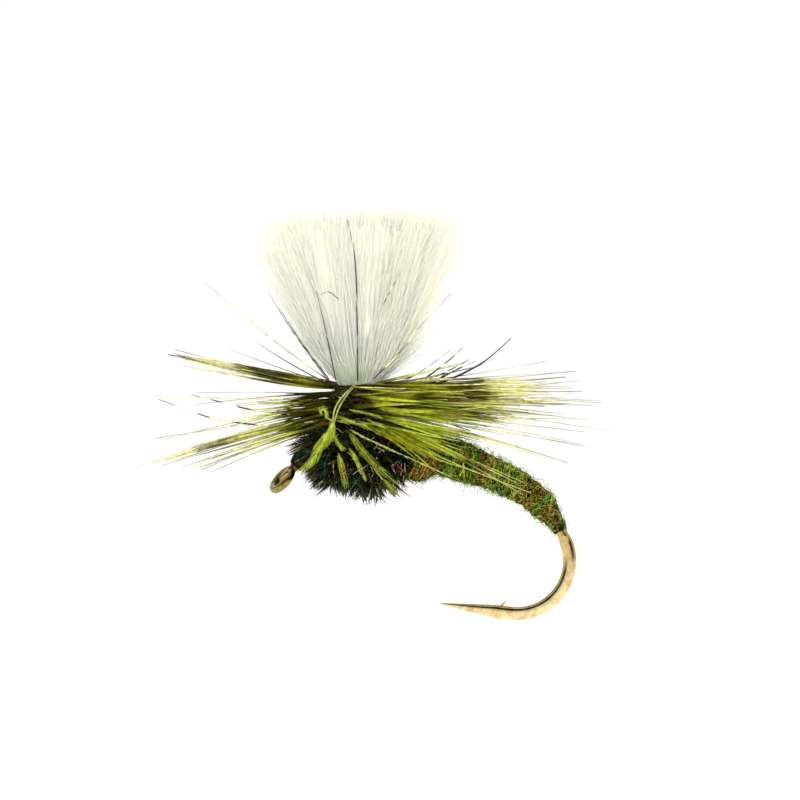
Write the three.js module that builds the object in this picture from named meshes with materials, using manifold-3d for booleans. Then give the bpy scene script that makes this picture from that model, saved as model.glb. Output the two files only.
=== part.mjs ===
// Parachute dry fly on a curved emerger hook, in millimetres, +Z up.
// Origin: centre of the hole in the hook's eye. The hook lies in the XZ plane, eye in front (-X side),
// bend at the rear (+X side), and the wing post stands up along +Z.
import * as THREE from "three";
import { mergeVertices } from "three/addons/utils/BufferGeometryUtils.js";
import Module from "manifold-3d";

const wasm = await Module();
wasm.setup();

// ---- Driving dimensions -------------------------------------------------------------------------

const CLEARANCE = 0.02; // left between neighbouring pieces

// Hook wire
const EYE_RING_RADIUS = 0.65; // to the middle of the ring's wire
const EYE_WIRE_RADIUS = 0.21;
const EYE_HEADING = 47; // degrees that the eye's shank rises towards the rear
const EYE_TWIST = 18; // degrees that the ring is turned about the shank
const WIRE_RADIUS = 0.275;
const FORGED_HALF_HEIGHT = 0.34; // in the hook's plane
const FORGED_HALF_THICKNESS = 0.21; // across it, flat on both sides
const POINT_TAPER = 2.8;
const POINT_RADIUS = 0.015;

// The wire's centreline from the ring to the point, as straight and round stretches.
// Turns are in degrees and all bend the same way, from heading up at the eye to heading back at the point.
const WIRE_ROUTE = [
  { length: 0.65 }, // neck behind the eye
  { radius: 3.1, turn: 50 }, // down-turned front of the shank
  { radius: 20, turn: 25 }, // long shallow curve of the shank
  { radius: 5.5, turn: 38 }, // rear of the shank, running into the bend
  { radius: 2.63, turn: 116 }, // round bend
  { radius: 6.5, turn: 6 }, // spear, rising a little towards the point
  { length: 3.1 }, // straight point
];

// Barb: a spur cut up from the inner side of the spear, leaning back towards the bend
const BARB_BEFORE_POINT = 3.1;
const BARB_HEIGHT = 0.6;
const BARB_ROOT_RADIUS = 0.14;
const BARB_LEAN = 40;

// Where the dressing lies along the wire, measured from the eye's ring
const HEAD_START = 0.25;
const HEAD_END = 1.5;
const BASE_START = HEAD_END + CLEARANCE;
const ABDOMEN_START = 6.55;
const ABDOMEN_END = 14.85;
const TIE_IN_LENGTH = 0.4;
const DRESSING_END = ABDOMEN_END + TIE_IN_LENGTH + CLEARANCE;
const THREAD_BASE_RADIUS = 0.35;

// Wing post: its half width grows from the waist as POST_SPREAD * (height above the waist) ^ POST_FAN
const POST_X = 3.85;
const POST_TOP = 13.55;
const POST_WAIST_RADIUS = 0.9;
const POST_WAIST_TOP = 4.8;
const POST_SPREAD = 1.15;
const POST_FAN = 0.66;
const POST_DEPTH_SHARE = 0.62; // depth across the hook, as a share of the width along it
const BUTT_START = 3.35;
const BUTT_END = 8.6;
const BUTT_RADIUS = 0.58;

// Parachute hackle
const TURN_COUNT = 6;
const LOWEST_TURN_Z = 3.0;
const HIGHEST_TURN_Z = 4.72;
const QUILL_RADIUS = 0.1;
const BARB_REACH = { rear: 11.3, front: 9.8, side: 7.2 };
const LOWEST_TURN_RISE = { rear: -13, front: -14, side: -8 }; // degrees
const HIGHEST_TURN_RISE = { rear: 4, front: 9, side: 8 };
const BARB_CLUMPS = 20;
const CLUMP_GAP_SHARE = 0.66; // reach of the gaps between clumps of barbs, as a share of the clumps' own

// The feather's tip crosses the near side of the winding and lies down over the thorax.
const FEATHER_TIP_ROUTE = [
  [3.4, -1.45, 4.9],
  [2.85, -1.6, 4.2],
  [2.55, -1.75, 3.5],
  [2.45, -1.95, 2.8],
  [2.3, -2.15, 2.1],
  [1.9, -2.0, 1.3],
  [1.3, -1.6, 0.5],
];
const FEATHER_TIP_HALF_WIDTH = 0.22;
const FEATHER_TIP_HALF_DEPTH = 0.06;

const CEMENT_END = 0.95;
const CEMENT_THICKNESS = { front: 0.08, rear: 0.04 };
const LASHING_THICKNESS = 0.06;
const POST_WRAP_THICKNESS = 0.08;
const WRAP_FOOT = 2.85;
const DUBBING_TURNS = 15;
const DUBBING_GROOVE = 0.07; // depth of the groove between two turns

// ---- Small tools --------------------------------------------------------------------------------

const { degToRad: radians, lerp: mix, smoothstep: ramp, inverseLerp: unmix } = THREE.MathUtils;

const spaced = (from, to, count) => Array.from({ length: count + 1 }, (_, i) => mix(from, to, i / count));

// Moves every vertex of a geometry to where warp puts it, and welds the seams.
function warped(geometry, warp) {
  geometry.deleteAttribute("normal");
  geometry.deleteAttribute("uv");
  const position = geometry.attributes.position;
  const v = new THREE.Vector3();
  for (let i = 0; i < position.count; i++) {
    v.fromBufferAttribute(position, i);
    warp(v);
    position.setXYZ(i, v.x, v.y, v.z);
  }
  return mergeVertices(geometry, 1e-4);
}

function solidOf(geometry) {
  const plain = geometry.clone();
  plain.deleteAttribute("normal");
  plain.deleteAttribute("uv");
  const welded = mergeVertices(plain, 1e-4);
  return new wasm.Manifold(
    new wasm.Mesh({
      numProp: 3,
      vertProperties: welded.attributes.position.array,
      triVerts: new Uint32Array(welded.index.array),
    }),
  );
}

function geometryOf(solid) {
  const mesh = solid.getMesh();
  return new THREE.BufferGeometry()
    .setAttribute("position", new THREE.BufferAttribute(mesh.vertProperties, 3))
    .setIndex(new THREE.BufferAttribute(mesh.triVerts, 1));
}

const fly = new THREE.Group();

function addPiece(name, geometry, look) {
  geometry.computeVertexNormals();
  const mesh = new THREE.Mesh(geometry, new THREE.MeshStandardMaterial(look));
  mesh.name = name;
  fly.add(mesh);
}

// ---- The wire's centreline ----------------------------------------------------------------------

const stretchLength = ({ length, radius, turn }) => length ?? radius * radians(turn);
const WIRE_LENGTH = WIRE_ROUTE.reduce((sum, stretch) => sum + stretchLength(stretch), 0);
const FORGED_START = DRESSING_END + 0.05;
const FORGING_RAMP = 0.6; // over which the round wire turns flat
const FORGED_END = WIRE_LENGTH - POINT_TAPER;

// The centreline's place and heading (an angle in the XZ plane) at a distance from the eye's ring.
function wireAt(distance) {
  let heading = radians(EYE_HEADING);
  let x = EYE_RING_RADIUS * Math.cos(heading);
  let z = EYE_RING_RADIUS * Math.sin(heading);
  let left = distance;
  for (const stretch of WIRE_ROUTE) {
    const along = Math.min(left, stretchLength(stretch));
    if (stretch.radius) {
      const after = heading - along / stretch.radius;
      x += stretch.radius * (Math.sin(heading) - Math.sin(after));
      z += stretch.radius * (Math.cos(after) - Math.cos(heading));
      heading = after;
    } else {
      x += along * Math.cos(heading);
      z += along * Math.sin(heading);
    }
    left -= along;
    if (left <= 0) break;
  }
  return { x, z, heading };
}

// Bends a lathe whose axis (Y) is the distance along the wire, so that it follows the wire.
// reshape may first change a vertex of the section (X across the hook, Z away from its inside).
function alongWire(lathe, reshape = () => {}) {
  return warped(lathe, (v) => {
    const at = wireAt(v.y);
    reshape(v, v.y);
    v.set(at.x - Math.sin(at.heading) * v.z, -v.x, at.z + Math.cos(at.heading) * v.z);
  });
}

// A closed ring profile for a lathe. The inner radii are measured across the flats of the lathe's facets.
function ringProfile(stations, outer, inner, sides) {
  const overFlats = 1 / Math.cos(Math.PI / sides);
  const outside = stations.map((at) => new THREE.Vector2(outer(at), at));
  const inside = stations.map((at) => new THREE.Vector2(inner(at) * overFlats, at)).reverse();
  return [...outside, ...inside, outside[0].clone()];
}

// A closed sleeve round the wire: outer and inner give its radii at a distance along the wire,
// and sag moves its outer surface towards the inside of the hook.
function sleeve({ stations, outer, inner, sides = 12, sag = () => 0 }) {
  const profile = ringProfile(stations, outer, inner, sides);
  return alongWire(new THREE.LatheGeometry(profile, sides), (v, distance) => {
    const isOuter = Math.hypot(v.x, v.z) > (outer(distance) + inner(distance)) / 2;
    v.z -= isOuter ? sag(distance) : 0;
  });
}

// ---- Hook ---------------------------------------------------------------------------------------

function wireRadius(distance) {
  const neck = mix(EYE_WIRE_RADIUS, WIRE_RADIUS, ramp(distance, 0, 0.4));
  const forged = mix(neck, FORGED_HALF_HEIGHT, ramp(distance, FORGED_START, FORGED_START + FORGING_RAMP));
  const taper = THREE.MathUtils.clamp((WIRE_LENGTH - distance) / POINT_TAPER, 0, 1);
  return mix(POINT_RADIUS, forged, Math.pow(taper, 0.8));
}

function hookWire() {
  const stations = [
    ...spaced(0, FORGED_START, 26),
    ...spaced(FORGED_START, FORGED_END, 30).slice(1),
    ...spaced(FORGED_END, WIRE_LENGTH, 9).slice(1),
  ];
  const profile = [
    new THREE.Vector2(0, 0),
    ...stations.map((at) => new THREE.Vector2(wireRadius(at), at)),
    new THREE.Vector2(0, WIRE_LENGTH),
  ];
  // Forging presses the bend and the spear flat on both sides.
  const forge = (v, distance) => {
    const pressed = ramp(distance, FORGED_START, FORGED_START + FORGING_RAMP);
    const limit = mix(FORGED_HALF_HEIGHT, FORGED_HALF_THICKNESS, pressed);
    v.x = THREE.MathUtils.clamp(v.x, -limit, limit);
  };
  return alongWire(new THREE.LatheGeometry(profile, 16), forge);
}

function eyeRing() {
  const along = new THREE.Vector3(Math.cos(radians(EYE_HEADING)), 0, Math.sin(radians(EYE_HEADING)));
  const across = new THREE.Vector3(0, 1, 0).applyAxisAngle(along, radians(EYE_TWIST));
  const ring = new THREE.TorusGeometry(EYE_RING_RADIUS, EYE_WIRE_RADIUS, 10, 28);
  const axis = new THREE.Vector3().crossVectors(along, across);
  return ring.applyMatrix4(new THREE.Matrix4().makeBasis(along, across, axis));
}

function barbSpur() {
  const root = wireAt(WIRE_LENGTH - BARB_BEFORE_POINT);
  const spur = new THREE.ConeGeometry(BARB_ROOT_RADIUS, BARB_HEIGHT, 6);
  spur.translate(0, BARB_HEIGHT / 2, 0);
  spur.rotateX(Math.PI / 2);
  spur.rotateY(radians(BARB_LEAN));
  return spur.translate(root.x, 0, root.z);
}

function hook() {
  return geometryOf(solidOf(hookWire()).add(solidOf(eyeRing())).add(solidOf(barbSpur())));
}

// ---- Thread -------------------------------------------------------------------------------------

const wireClear = (distance) => wireRadius(distance) + CLEARANCE;

function headRadius(distance) {
  const rise = ramp(distance, HEAD_START, HEAD_END - 0.25);
  return wireRadius(distance) + mix(0.07, 0.3, rise);
}

function headThread() {
  const stations = spaced(HEAD_START, HEAD_END, 8);
  return sleeve({ stations, inner: wireClear, outer: headRadius });
}

// Lacquer over the front of the thread head, thinner at its rear edge
function headCement() {
  const stations = spaced(HEAD_START, CEMENT_END, 6);
  const inner = (at) => headRadius(at) + CLEARANCE;
  const { front, rear } = CEMENT_THICKNESS;
  const outer = (at) => inner(at) + mix(front, rear, unmix(HEAD_START, CEMENT_END, at));
  return sleeve({ stations, inner, outer });
}

function shankThreadBase() {
  const stations = spaced(BASE_START, ABDOMEN_END, 30);
  return sleeve({ stations, inner: wireClear, outer: () => THREAD_BASE_RADIUS, sides: 10 });
}

function rearTieInWraps() {
  const start = ABDOMEN_END + CLEARANCE;
  const stations = spaced(start, start + TIE_IN_LENGTH, 4);
  const outer = (at) => wireRadius(at) + mix(0.14, 0.07, unmix(start, start + TIE_IN_LENGTH, at));
  return sleeve({ stations, inner: wireClear, outer });
}

// ---- Wing post: one hank of yarn, lashed along the shank and stood up ------------------------------

function buttRadius(distance) {
  return mix(BUTT_RADIUS, THREAD_BASE_RADIUS + 0.07, ramp(distance, 5.5, BUTT_END));
}

const lashingRadius = (distance) => buttRadius(distance) + CLEARANCE + LASHING_THICKNESS;

function postHalfWidth(z) {
  return POST_WAIST_RADIUS + POST_SPREAD * Math.pow(Math.max(0, z - POST_WAIST_TOP), POST_FAN);
}

function postHalfDepth(z) {
  return postHalfWidth(z) * mix(1, POST_DEPTH_SHARE, ramp(z, POST_WAIST_TOP, 7));
}

function standingPost() {
  const foot = wireAt(BUTT_START).z;
  const shoulder = POST_TOP - 1;
  const fan = spaced(0, 1, 10).map((share) => mix(POST_WAIST_TOP, shoulder, share * share));
  const heights = [foot, ...fan];
  const crown = [
    new THREE.Vector2(0.78, POST_TOP - 0.25),
    new THREE.Vector2(0.4, POST_TOP),
    new THREE.Vector2(0, POST_TOP),
  ];
  const profile = [new THREE.Vector2(0, foot), ...heights.map((z) => new THREE.Vector2(1, z)), ...crown];
  const post = new THREE.LatheGeometry(profile, 24).rotateX(Math.PI / 2);
  return warped(post, (v) => {
    const width = postHalfWidth(v.z);
    const depth = postHalfDepth(v.z);
    v.set(POST_X + v.x * width, v.y * depth, v.z);
  });
}

function lashedButt() {
  const stations = spaced(BUTT_START, BUTT_END, 10);
  return sleeve({ stations, inner: () => THREAD_BASE_RADIUS + CLEARANCE, outer: buttRadius });
}

// The post's foot is open below, where the shank and its thread base run through it.
function shankChannel() {
  const stations = spaced(BUTT_START - 2, BUTT_START + 2.5, 6);
  const profile = [
    new THREE.Vector2(0, stations[0]),
    ...stations.map((at) => new THREE.Vector2(THREAD_BASE_RADIUS + CLEARANCE, at)),
    new THREE.Vector2(0, stations.at(-1)),
  ];
  return alongWire(new THREE.LatheGeometry(profile, 12));
}

function wingPost() {
  return geometryOf(solidOf(standingPost()).subtract(solidOf(shankChannel())).add(solidOf(lashedButt())));
}

// Thread over the lashed butt, behind the post
function postLashingWraps() {
  const stations = spaced(LASHING_START, ABDOMEN_START - CLEARANCE, 5);
  return sleeve({ stations, inner: (at) => buttRadius(at) + CLEARANCE, outer: lashingRadius });
}

// ---- Winding round the post ---------------------------------------------------------------------

const postWrapInner = POST_WAIST_RADIUS + CLEARANCE;
const postWrapOuter = postWrapInner + POST_WRAP_THICKNESS;
const quillPathRadius = postWrapOuter + CLEARANCE + QUILL_RADIUS;
const barbRootRadius = quillPathRadius + QUILL_RADIUS + 2 * CLEARANCE;

// A closed ring round the post
function postRing({ heights, inner, outer, sides = 24 }) {
  const profile = ringProfile(heights, outer, inner, sides);
  return new THREE.LatheGeometry(profile, sides).rotateX(Math.PI / 2).translate(POST_X, 0, 0);
}

function postBaseWraps() {
  return postRing({
    heights: [WRAP_FOOT, POST_WAIST_TOP],
    inner: () => postWrapInner,
    outer: () => postWrapOuter,
  });
}

// The feather's quill, wound down the post in a close helix
class QuillHelix extends THREE.Curve {
  getPoint(t) {
    const z = mix(HIGHEST_TURN_Z, LOWEST_TURN_Z, t);
    const angle = -2 * Math.PI * (TURN_COUNT - 0.7) * t;
    const across = new THREE.Vector3(Math.cos(angle), Math.sin(angle), 0).multiplyScalar(quillPathRadius);
    return across.add(new THREE.Vector3(POST_X, 0, z));
  }
}

function roundSection(radius, sides) {
  const angles = spaced(0, 2 * Math.PI, sides).slice(0, -1);
  return new THREE.Shape(angles.map((a) => new THREE.Vector2(radius * Math.cos(a), radius * Math.sin(a))));
}

function hackleQuill() {
  return new THREE.ExtrudeGeometry(roundSection(QUILL_RADIUS, 8), {
    steps: 16 * (TURN_COUNT - 1),
    extrudePath: new QuillHelix(),
  });
}

// What faces rear (+X), front (-X) and sideways (Y), blended by direction
function byDirection(values, angle) {
  const fore = Math.cos(angle);
  const end = fore > 0 ? values.rear : values.front;
  return mix(values.side, end, fore * fore);
}

const tipPoints = FEATHER_TIP_ROUTE.map((point) => new THREE.Vector3(...point));
const featherTip = new THREE.CatmullRomCurve3(tipPoints);

// Direction, seen from above, in which the feather's tip passes a given height
function partingAt(z) {
  const passing = featherTip.getPoints(60).reduce((a, b) => (Math.abs(b.z - z) < Math.abs(a.z - z) ? b : a));
  return Math.atan2(passing.y, passing.x - POST_X);
}

// One turn's barbs: a thin star of clumps that leaves the quill all round, parted where the tip crosses it
function hackleTurn(index) {
  const share = index / (TURN_COUNT - 1);
  const rootZ = mix(LOWEST_TURN_Z, HIGHEST_TURN_Z, share);
  const segments = 2 * BARB_CLUMPS;
  const segmentAngle = (2 * Math.PI) / segments;
  const parting = partingAt(rootZ);
  const rootHalf = 0.07;
  const tipHalf = 0.03;
  const profile = [
    new THREE.Vector2(2, -tipHalf),
    new THREE.Vector2(2, tipHalf),
    new THREE.Vector2(1, rootHalf),
    new THREE.Vector2(1, -rootHalf),
    new THREE.Vector2(2, -tipHalf),
  ];
  const reachAt = (angle) => {
    if (Math.abs(angle - parting) < 1.5 * segmentAngle) return barbRootRadius + 0.06;
    const isTip = (Math.round(angle / segmentAngle) + index) % 2 === 0;
    return byDirection(BARB_REACH, angle) * (isTip ? 1 : CLUMP_GAP_SHARE);
  };
  const star = new THREE.LatheGeometry(profile, segments).rotateX(Math.PI / 2);
  return warped(star, (v) => {
    const angle = Math.atan2(v.y, v.x);
    const isOuter = Math.hypot(v.x, v.y) > 1.5;
    const radius = isOuter ? reachAt(angle) : barbRootRadius;
    const rise = mix(byDirection(LOWEST_TURN_RISE, angle), byDirection(HIGHEST_TURN_RISE, angle), share);
    const lift = (radius - barbRootRadius) * Math.tan(radians(rise));
    v.set(POST_X + radius * Math.cos(angle), radius * Math.sin(angle), rootZ + lift + v.z);
  });
}

// The tip's blade: flat, broad in its middle and pointed at its end
function hackleTip() {
  const shares = spaced(0, 1, 14);
  const profile = [
    new THREE.Vector2(0, 0),
    ...shares.map((share) => new THREE.Vector2(1, share)),
    new THREE.Vector2(0, 1),
  ];
  return warped(new THREE.LatheGeometry(profile, 8), (v) => {
    const share = v.y;
    const centre = featherTip.getPoint(share);
    const along = featherTip.getTangent(share);
    const away = new THREE.Vector3(centre.x - POST_X, centre.y, 0).normalize();
    const across = new THREE.Vector3().crossVectors(along, away).normalize();
    const broad = mix(0.35, 1, ramp(share, 0.4, 0.7)) * mix(1, 0.25, ramp(share, 0.75, 1));
    const width = v.x * FEATHER_TIP_HALF_WIDTH * broad;
    const depth = v.z * FEATHER_TIP_HALF_DEPTH;
    v.copy(centre).addScaledVector(across, width).addScaledVector(away, depth);
  });
}

// Thread that ties the feather's tip down, round the foot of the post
function hackleTieOffWraps() {
  return postRing({
    heights: [WRAP_FOOT - 0.4, WRAP_FOOT - 0.3, WRAP_FOOT - 0.1, WRAP_FOOT - CLEARANCE],
    inner: () => postWrapInner,
    outer: (z) => postWrapOuter + mix(0.1, 0.02, unmix(WRAP_FOOT - 0.4, WRAP_FOOT, z)),
  });
}

// ---- Body ---------------------------------------------------------------------------------------

// How far the abdomen stands out above the shank
function abdomenAbove(distance) {
  const share = unmix(ABDOMEN_START, ABDOMEN_END, distance);
  const shoulder = mix(0.82, 1.0, ramp(share, 0, 0.25));
  const waist = mix(shoulder, 0.68, ramp(share, 0.2, 0.8));
  return mix(waist, 0.48, ramp(share, 0.8, 1));
}

// It hangs down next to the thorax, and from there on it stands out less below the shank than above it.
function abdomenBelow(distance) {
  const share = unmix(ABDOMEN_START, ABDOMEN_END, distance);
  const belly = mix(1.4, 0.86, ramp(share, 0, 0.18));
  const waist = mix(belly, 0.62, ramp(share, 0.35, 0.6));
  return mix(waist, 0.48, ramp(share, 0.8, 1));
}

function abdomenDubbing() {
  const stations = spaced(ABDOMEN_START, ABDOMEN_END, 2 * DUBBING_TURNS);
  const spacing = (ABDOMEN_END - ABDOMEN_START) / DUBBING_TURNS;
  const groove = (at) => DUBBING_GROOVE * Math.cos((2 * Math.PI * (at - ABDOMEN_START)) / spacing);
  const buried = (at) => (at < BUTT_END ? buttRadius(at) : THREAD_BASE_RADIUS);
  return sleeve({
    stations,
    outer: (at) => (abdomenAbove(at) + abdomenBelow(at) - groove(at)) / 2,
    inner: (at) => buried(at) + CLEARANCE + 0.01,
    sag: (at) => (abdomenBelow(at) - abdomenAbove(at)) / 2,
  });
}

// Peacock herl, wound thick before, under and behind the post. It stands further out below the shank
// than above it, where the hackle presses on it; above and below give both heights at start and end.
const THREAD_CORE = THREAD_BASE_RADIUS + CLEARANCE;
const BUTT_CORE = BUTT_RADIUS + CLEARANCE;
const LASHING_START = 4.83;
const HERL_FRONT = {
  start: HEAD_END + 0.03,
  end: 2.9,
  above: [0.75, 0.9],
  below: [1.9, 2.4],
  core: THREAD_CORE,
};
const HERL_MIDDLE = {
  start: 2.92,
  end: LASHING_START - CLEARANCE,
  above: [0.9, 0.95],
  below: [2.4, 2.8],
  core: BUTT_CORE,
};
const HERL_REAR = {
  start: LASHING_START,
  end: ABDOMEN_START - CLEARANCE,
  above: [0.95, 0.92],
  below: [2.8, 1.5],
  core: BUTT_CORE + LASHING_THICKNESS + CLEARANCE,
};

function herlTurns({ start, end, above, below, core }) {
  const along = (at) => unmix(start, end, at);
  const rounded = (at) => mix(0.88, 1, Math.sin(Math.PI * mix(0.15, 0.85, along(at))));
  const top = (at) => rounded(at) * mix(...above, along(at));
  const bottom = (at) => rounded(at) * mix(...below, along(at));
  return sleeve({
    stations: spaced(start, end, 4),
    sides: 16,
    outer: (at) => (bottom(at) + top(at)) / 2,
    inner: () => core,
    sag: (at) => (bottom(at) - top(at)) / 2,
  });
}

// The middle strand passes under the post, which stands up out of it.
function herlUnderPost() {
  const postClearance = new THREE.CylinderGeometry(postWrapOuter + 0.2, postWrapOuter + 0.2, 6, 24);
  postClearance.rotateX(Math.PI / 2).translate(POST_X, 0, wireAt(BUTT_START).z + 3);
  return geometryOf(solidOf(herlTurns(HERL_MIDDLE)).subtract(solidOf(postClearance)));
}

// ---- Assembly -----------------------------------------------------------------------------------

const BRONZED_WIRE = { color: 0xc9a45c, roughness: 0.28, metalness: 1 };
const DARK_THREAD = { color: 0x2a1c14, roughness: 0.55, metalness: 0 };
const LACQUER = { color: 0x3a2a20, roughness: 0.08, metalness: 0 };
const WHITE_YARN = { color: 0xe6e6d6, roughness: 0.8, metalness: 0 };
const OLIVE_DUBBING = { color: 0x6b6a2c, roughness: 0.95, metalness: 0 };
const PEACOCK_HERL = { color: 0x15201a, roughness: 0.5, metalness: 0.2 };
const OLIVE_QUILL = { color: 0xa8ad6a, roughness: 0.45, metalness: 0 };
const GRIZZLY_OLIVE = { color: 0x9a9a35, roughness: 0.6, metalness: 0 };

addPiece("hook", hook(), BRONZED_WIRE);
addPiece("shank_thread_base", shankThreadBase(), DARK_THREAD);
addPiece("rear_tie_in_wraps", rearTieInWraps(), DARK_THREAD);
addPiece("abdomen_dubbing", abdomenDubbing(), OLIVE_DUBBING);
addPiece("wing_post", wingPost(), WHITE_YARN);
addPiece("post_lashing_wraps", postLashingWraps(), DARK_THREAD);
addPiece("post_base_wraps", postBaseWraps(), DARK_THREAD);
addPiece("thorax_herl_front", herlTurns(HERL_FRONT), PEACOCK_HERL);
addPiece("thorax_herl_middle", herlUnderPost(), PEACOCK_HERL);
addPiece("thorax_herl_rear", herlTurns(HERL_REAR), PEACOCK_HERL);
addPiece("hackle_quill", hackleQuill(), OLIVE_QUILL);
for (let index = 0; index < TURN_COUNT; index++) {
  addPiece(`hackle_barbs_turn_${index + 1}`, hackleTurn(index), GRIZZLY_OLIVE);
}
addPiece("hackle_tip", hackleTip(), GRIZZLY_OLIVE);
addPiece("hackle_tie_off_wraps", hackleTieOffWraps(), DARK_THREAD);
addPiece("head_thread", headThread(), DARK_THREAD);
addPiece("head_cement", headCement(), LACQUER);

export default fly;
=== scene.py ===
import math

import bpy
import numpy as np
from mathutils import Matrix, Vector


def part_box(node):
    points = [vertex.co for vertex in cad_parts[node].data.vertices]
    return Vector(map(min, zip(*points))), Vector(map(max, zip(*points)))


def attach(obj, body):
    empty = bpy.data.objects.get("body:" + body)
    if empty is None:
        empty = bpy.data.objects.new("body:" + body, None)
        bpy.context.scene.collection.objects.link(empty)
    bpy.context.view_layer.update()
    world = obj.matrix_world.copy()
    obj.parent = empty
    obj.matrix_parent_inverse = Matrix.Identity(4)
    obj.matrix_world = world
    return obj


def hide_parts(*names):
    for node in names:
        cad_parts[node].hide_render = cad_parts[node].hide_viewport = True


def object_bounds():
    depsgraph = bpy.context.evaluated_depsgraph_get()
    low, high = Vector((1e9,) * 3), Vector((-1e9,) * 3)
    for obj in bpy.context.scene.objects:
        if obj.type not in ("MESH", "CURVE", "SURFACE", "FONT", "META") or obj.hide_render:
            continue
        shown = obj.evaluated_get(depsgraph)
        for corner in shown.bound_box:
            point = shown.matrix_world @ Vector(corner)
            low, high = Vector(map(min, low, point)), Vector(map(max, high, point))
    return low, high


# Looks of a parachute dry fly, built as fibres, threads and wire around its CAD frame.
# Sizes are in millimetres and angles in degrees; a mesh is turned into metres when it is made.

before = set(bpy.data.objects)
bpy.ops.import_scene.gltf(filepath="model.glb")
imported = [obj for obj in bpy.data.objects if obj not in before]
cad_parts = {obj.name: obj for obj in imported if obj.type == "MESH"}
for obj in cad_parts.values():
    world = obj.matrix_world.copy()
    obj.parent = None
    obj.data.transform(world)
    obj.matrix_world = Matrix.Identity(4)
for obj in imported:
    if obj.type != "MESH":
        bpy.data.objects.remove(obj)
cad_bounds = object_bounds()

MM = 0.001
TURN = 2 * math.pi


def box_of(node):
    """Lowest and highest corner of a CAD node, in millimetres."""
    low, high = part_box(node)
    return np.array(low) / MM, np.array(high) / MM


# ---- Driving dimensions, the same as the CAD's ----

EYE_RING_RADIUS = 0.65
EYE_WIRE_RADIUS = 0.21
EYE_HEADING = math.radians(47)
EYE_TWIST = math.radians(18)
WIRE_RADIUS = 0.275
FORGED_HALF_HEIGHT = 0.34
FORGED_HALF_THICKNESS = 0.21
POINT_TAPER = 2.8
POINT_RADIUS = 0.015

# Straight and round stretches of the wire, from the eye's ring to the point
WIRE_ROUTE = [
    {"length": 0.65},
    {"radius": 3.1, "turn": 50},
    {"radius": 20, "turn": 25},
    {"radius": 5.5, "turn": 38},
    {"radius": 2.63, "turn": 116},
    {"radius": 6.5, "turn": 6},
    {"length": 3.1},
]
BARB_BEFORE_POINT = 3.1

# Stretches of the dressing along the wire
HEAD = (0.25, 1.5)
THREAD_BASE = (1.52, 14.85)
ABDOMEN = (6.55, 14.85)
TIE_IN = (14.87, 15.27)
LASHING = (4.83, 6.53)
BUTT = (3.35, 8.6)
FORGED_START = 15.32
FORGING_RAMP = 0.6
THREAD_BASE_RADIUS = 0.35
BUTT_RADIUS = 0.58

POST_X = 3.85
POST_WAIST_RADIUS = 0.9
POST_WAIST_TOP = 4.8
POST_SPREAD = 1.15
POST_FAN = 0.66
POST_DEPTH_SHARE = 0.62
POST_TOP = box_of("wing_post")[1][2]

TURN_COUNT = 6
LOWEST_TURN_Z = 3.0
HIGHEST_TURN_Z = 4.72
QUILL_PATH_RADIUS = 1.12
QUILL_RADIUS = 0.1

THREAD_RADIUS = 0.04
THREAD_PITCH = 2 * THREAD_RADIUS


# ---- Small tools ----

def steps(count):
    return np.linspace(0, 1, count)


def mix(a, b, t):
    return a + (b - a) * t


def ramp(x, low, high):
    """Smooth step from 0 at low to 1 at high."""
    t = np.clip((np.asarray(x, float) - low) / (high - low), 0, 1)
    return t * t * (3 - 2 * t)


def unit(v):
    return v / np.maximum(np.linalg.norm(v, axis=-1, keepdims=True), 1e-12)


def colour(red, green, blue):
    """Linear colour of an sRGB one given as 0 to 255."""
    c = np.array([red, green, blue]) / 255
    return np.where(c <= 0.04045, c / 12.92, ((c + 0.055) / 1.055) ** 2.4)


def toward(azimuth, rise):
    """Unit vector at an azimuth from +X and a rise above level, both in radians."""
    level = np.cos(rise)
    return np.stack([level * np.cos(azimuth), level * np.sin(azimuth), np.sin(rise)], -1)


def bend(start, handle, end, count):
    """Quadratic curves from start over handle to end: (n, 3) points give (n, count, 3)."""
    t = steps(count)[:, None]
    start, handle, end = start[:, None], handle[:, None], end[:, None]
    return start * (1 - t) ** 2 + 2 * handle * t * (1 - t) + end * t**2


def smooth_path(points, per_span):
    """Catmull-Rom curve through points, as (k, 3)."""
    p = np.array(points, float)
    p = np.vstack([2 * p[0] - p[1], p, 2 * p[-1] - p[-2]])
    t = np.linspace(0, 1, per_span, endpoint=False)[:, None]
    spans = []
    for a, b, c, d in zip(p, p[1:], p[2:], p[3:]):
        cubic = (3 * (b - c) + d - a) * t**3 + (2 * a - 5 * b + 4 * c - d) * t**2 + (c - a) * t
        spans.append(b + cubic / 2)
    return np.vstack([*spans, p[-2:-1]])


def level_path(route, per_span):
    """Smooth curve through places given by x and z, with y 0."""
    return smooth_path([(x, 0, z) for x, z in route], per_span)


# ---- The wire's centreline ----

def stretch_length(stretch):
    return stretch.get("length") or stretch["radius"] * math.radians(stretch["turn"])


WIRE_LENGTH = sum(stretch_length(stretch) for stretch in WIRE_ROUTE)


def along_stretch(stretch, place, along):
    """x, z and heading at distances along one stretch, which starts at the given x, z and heading."""
    x, z, heading = place
    if "length" in stretch:
        return x + along * math.cos(heading), z + along * math.sin(heading), heading + 0 * along
    radius = stretch["radius"]
    after = heading - along / radius
    across = radius * (math.sin(heading) - np.sin(after))
    return x + across, z + radius * (np.cos(after) - math.cos(heading)), after


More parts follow.
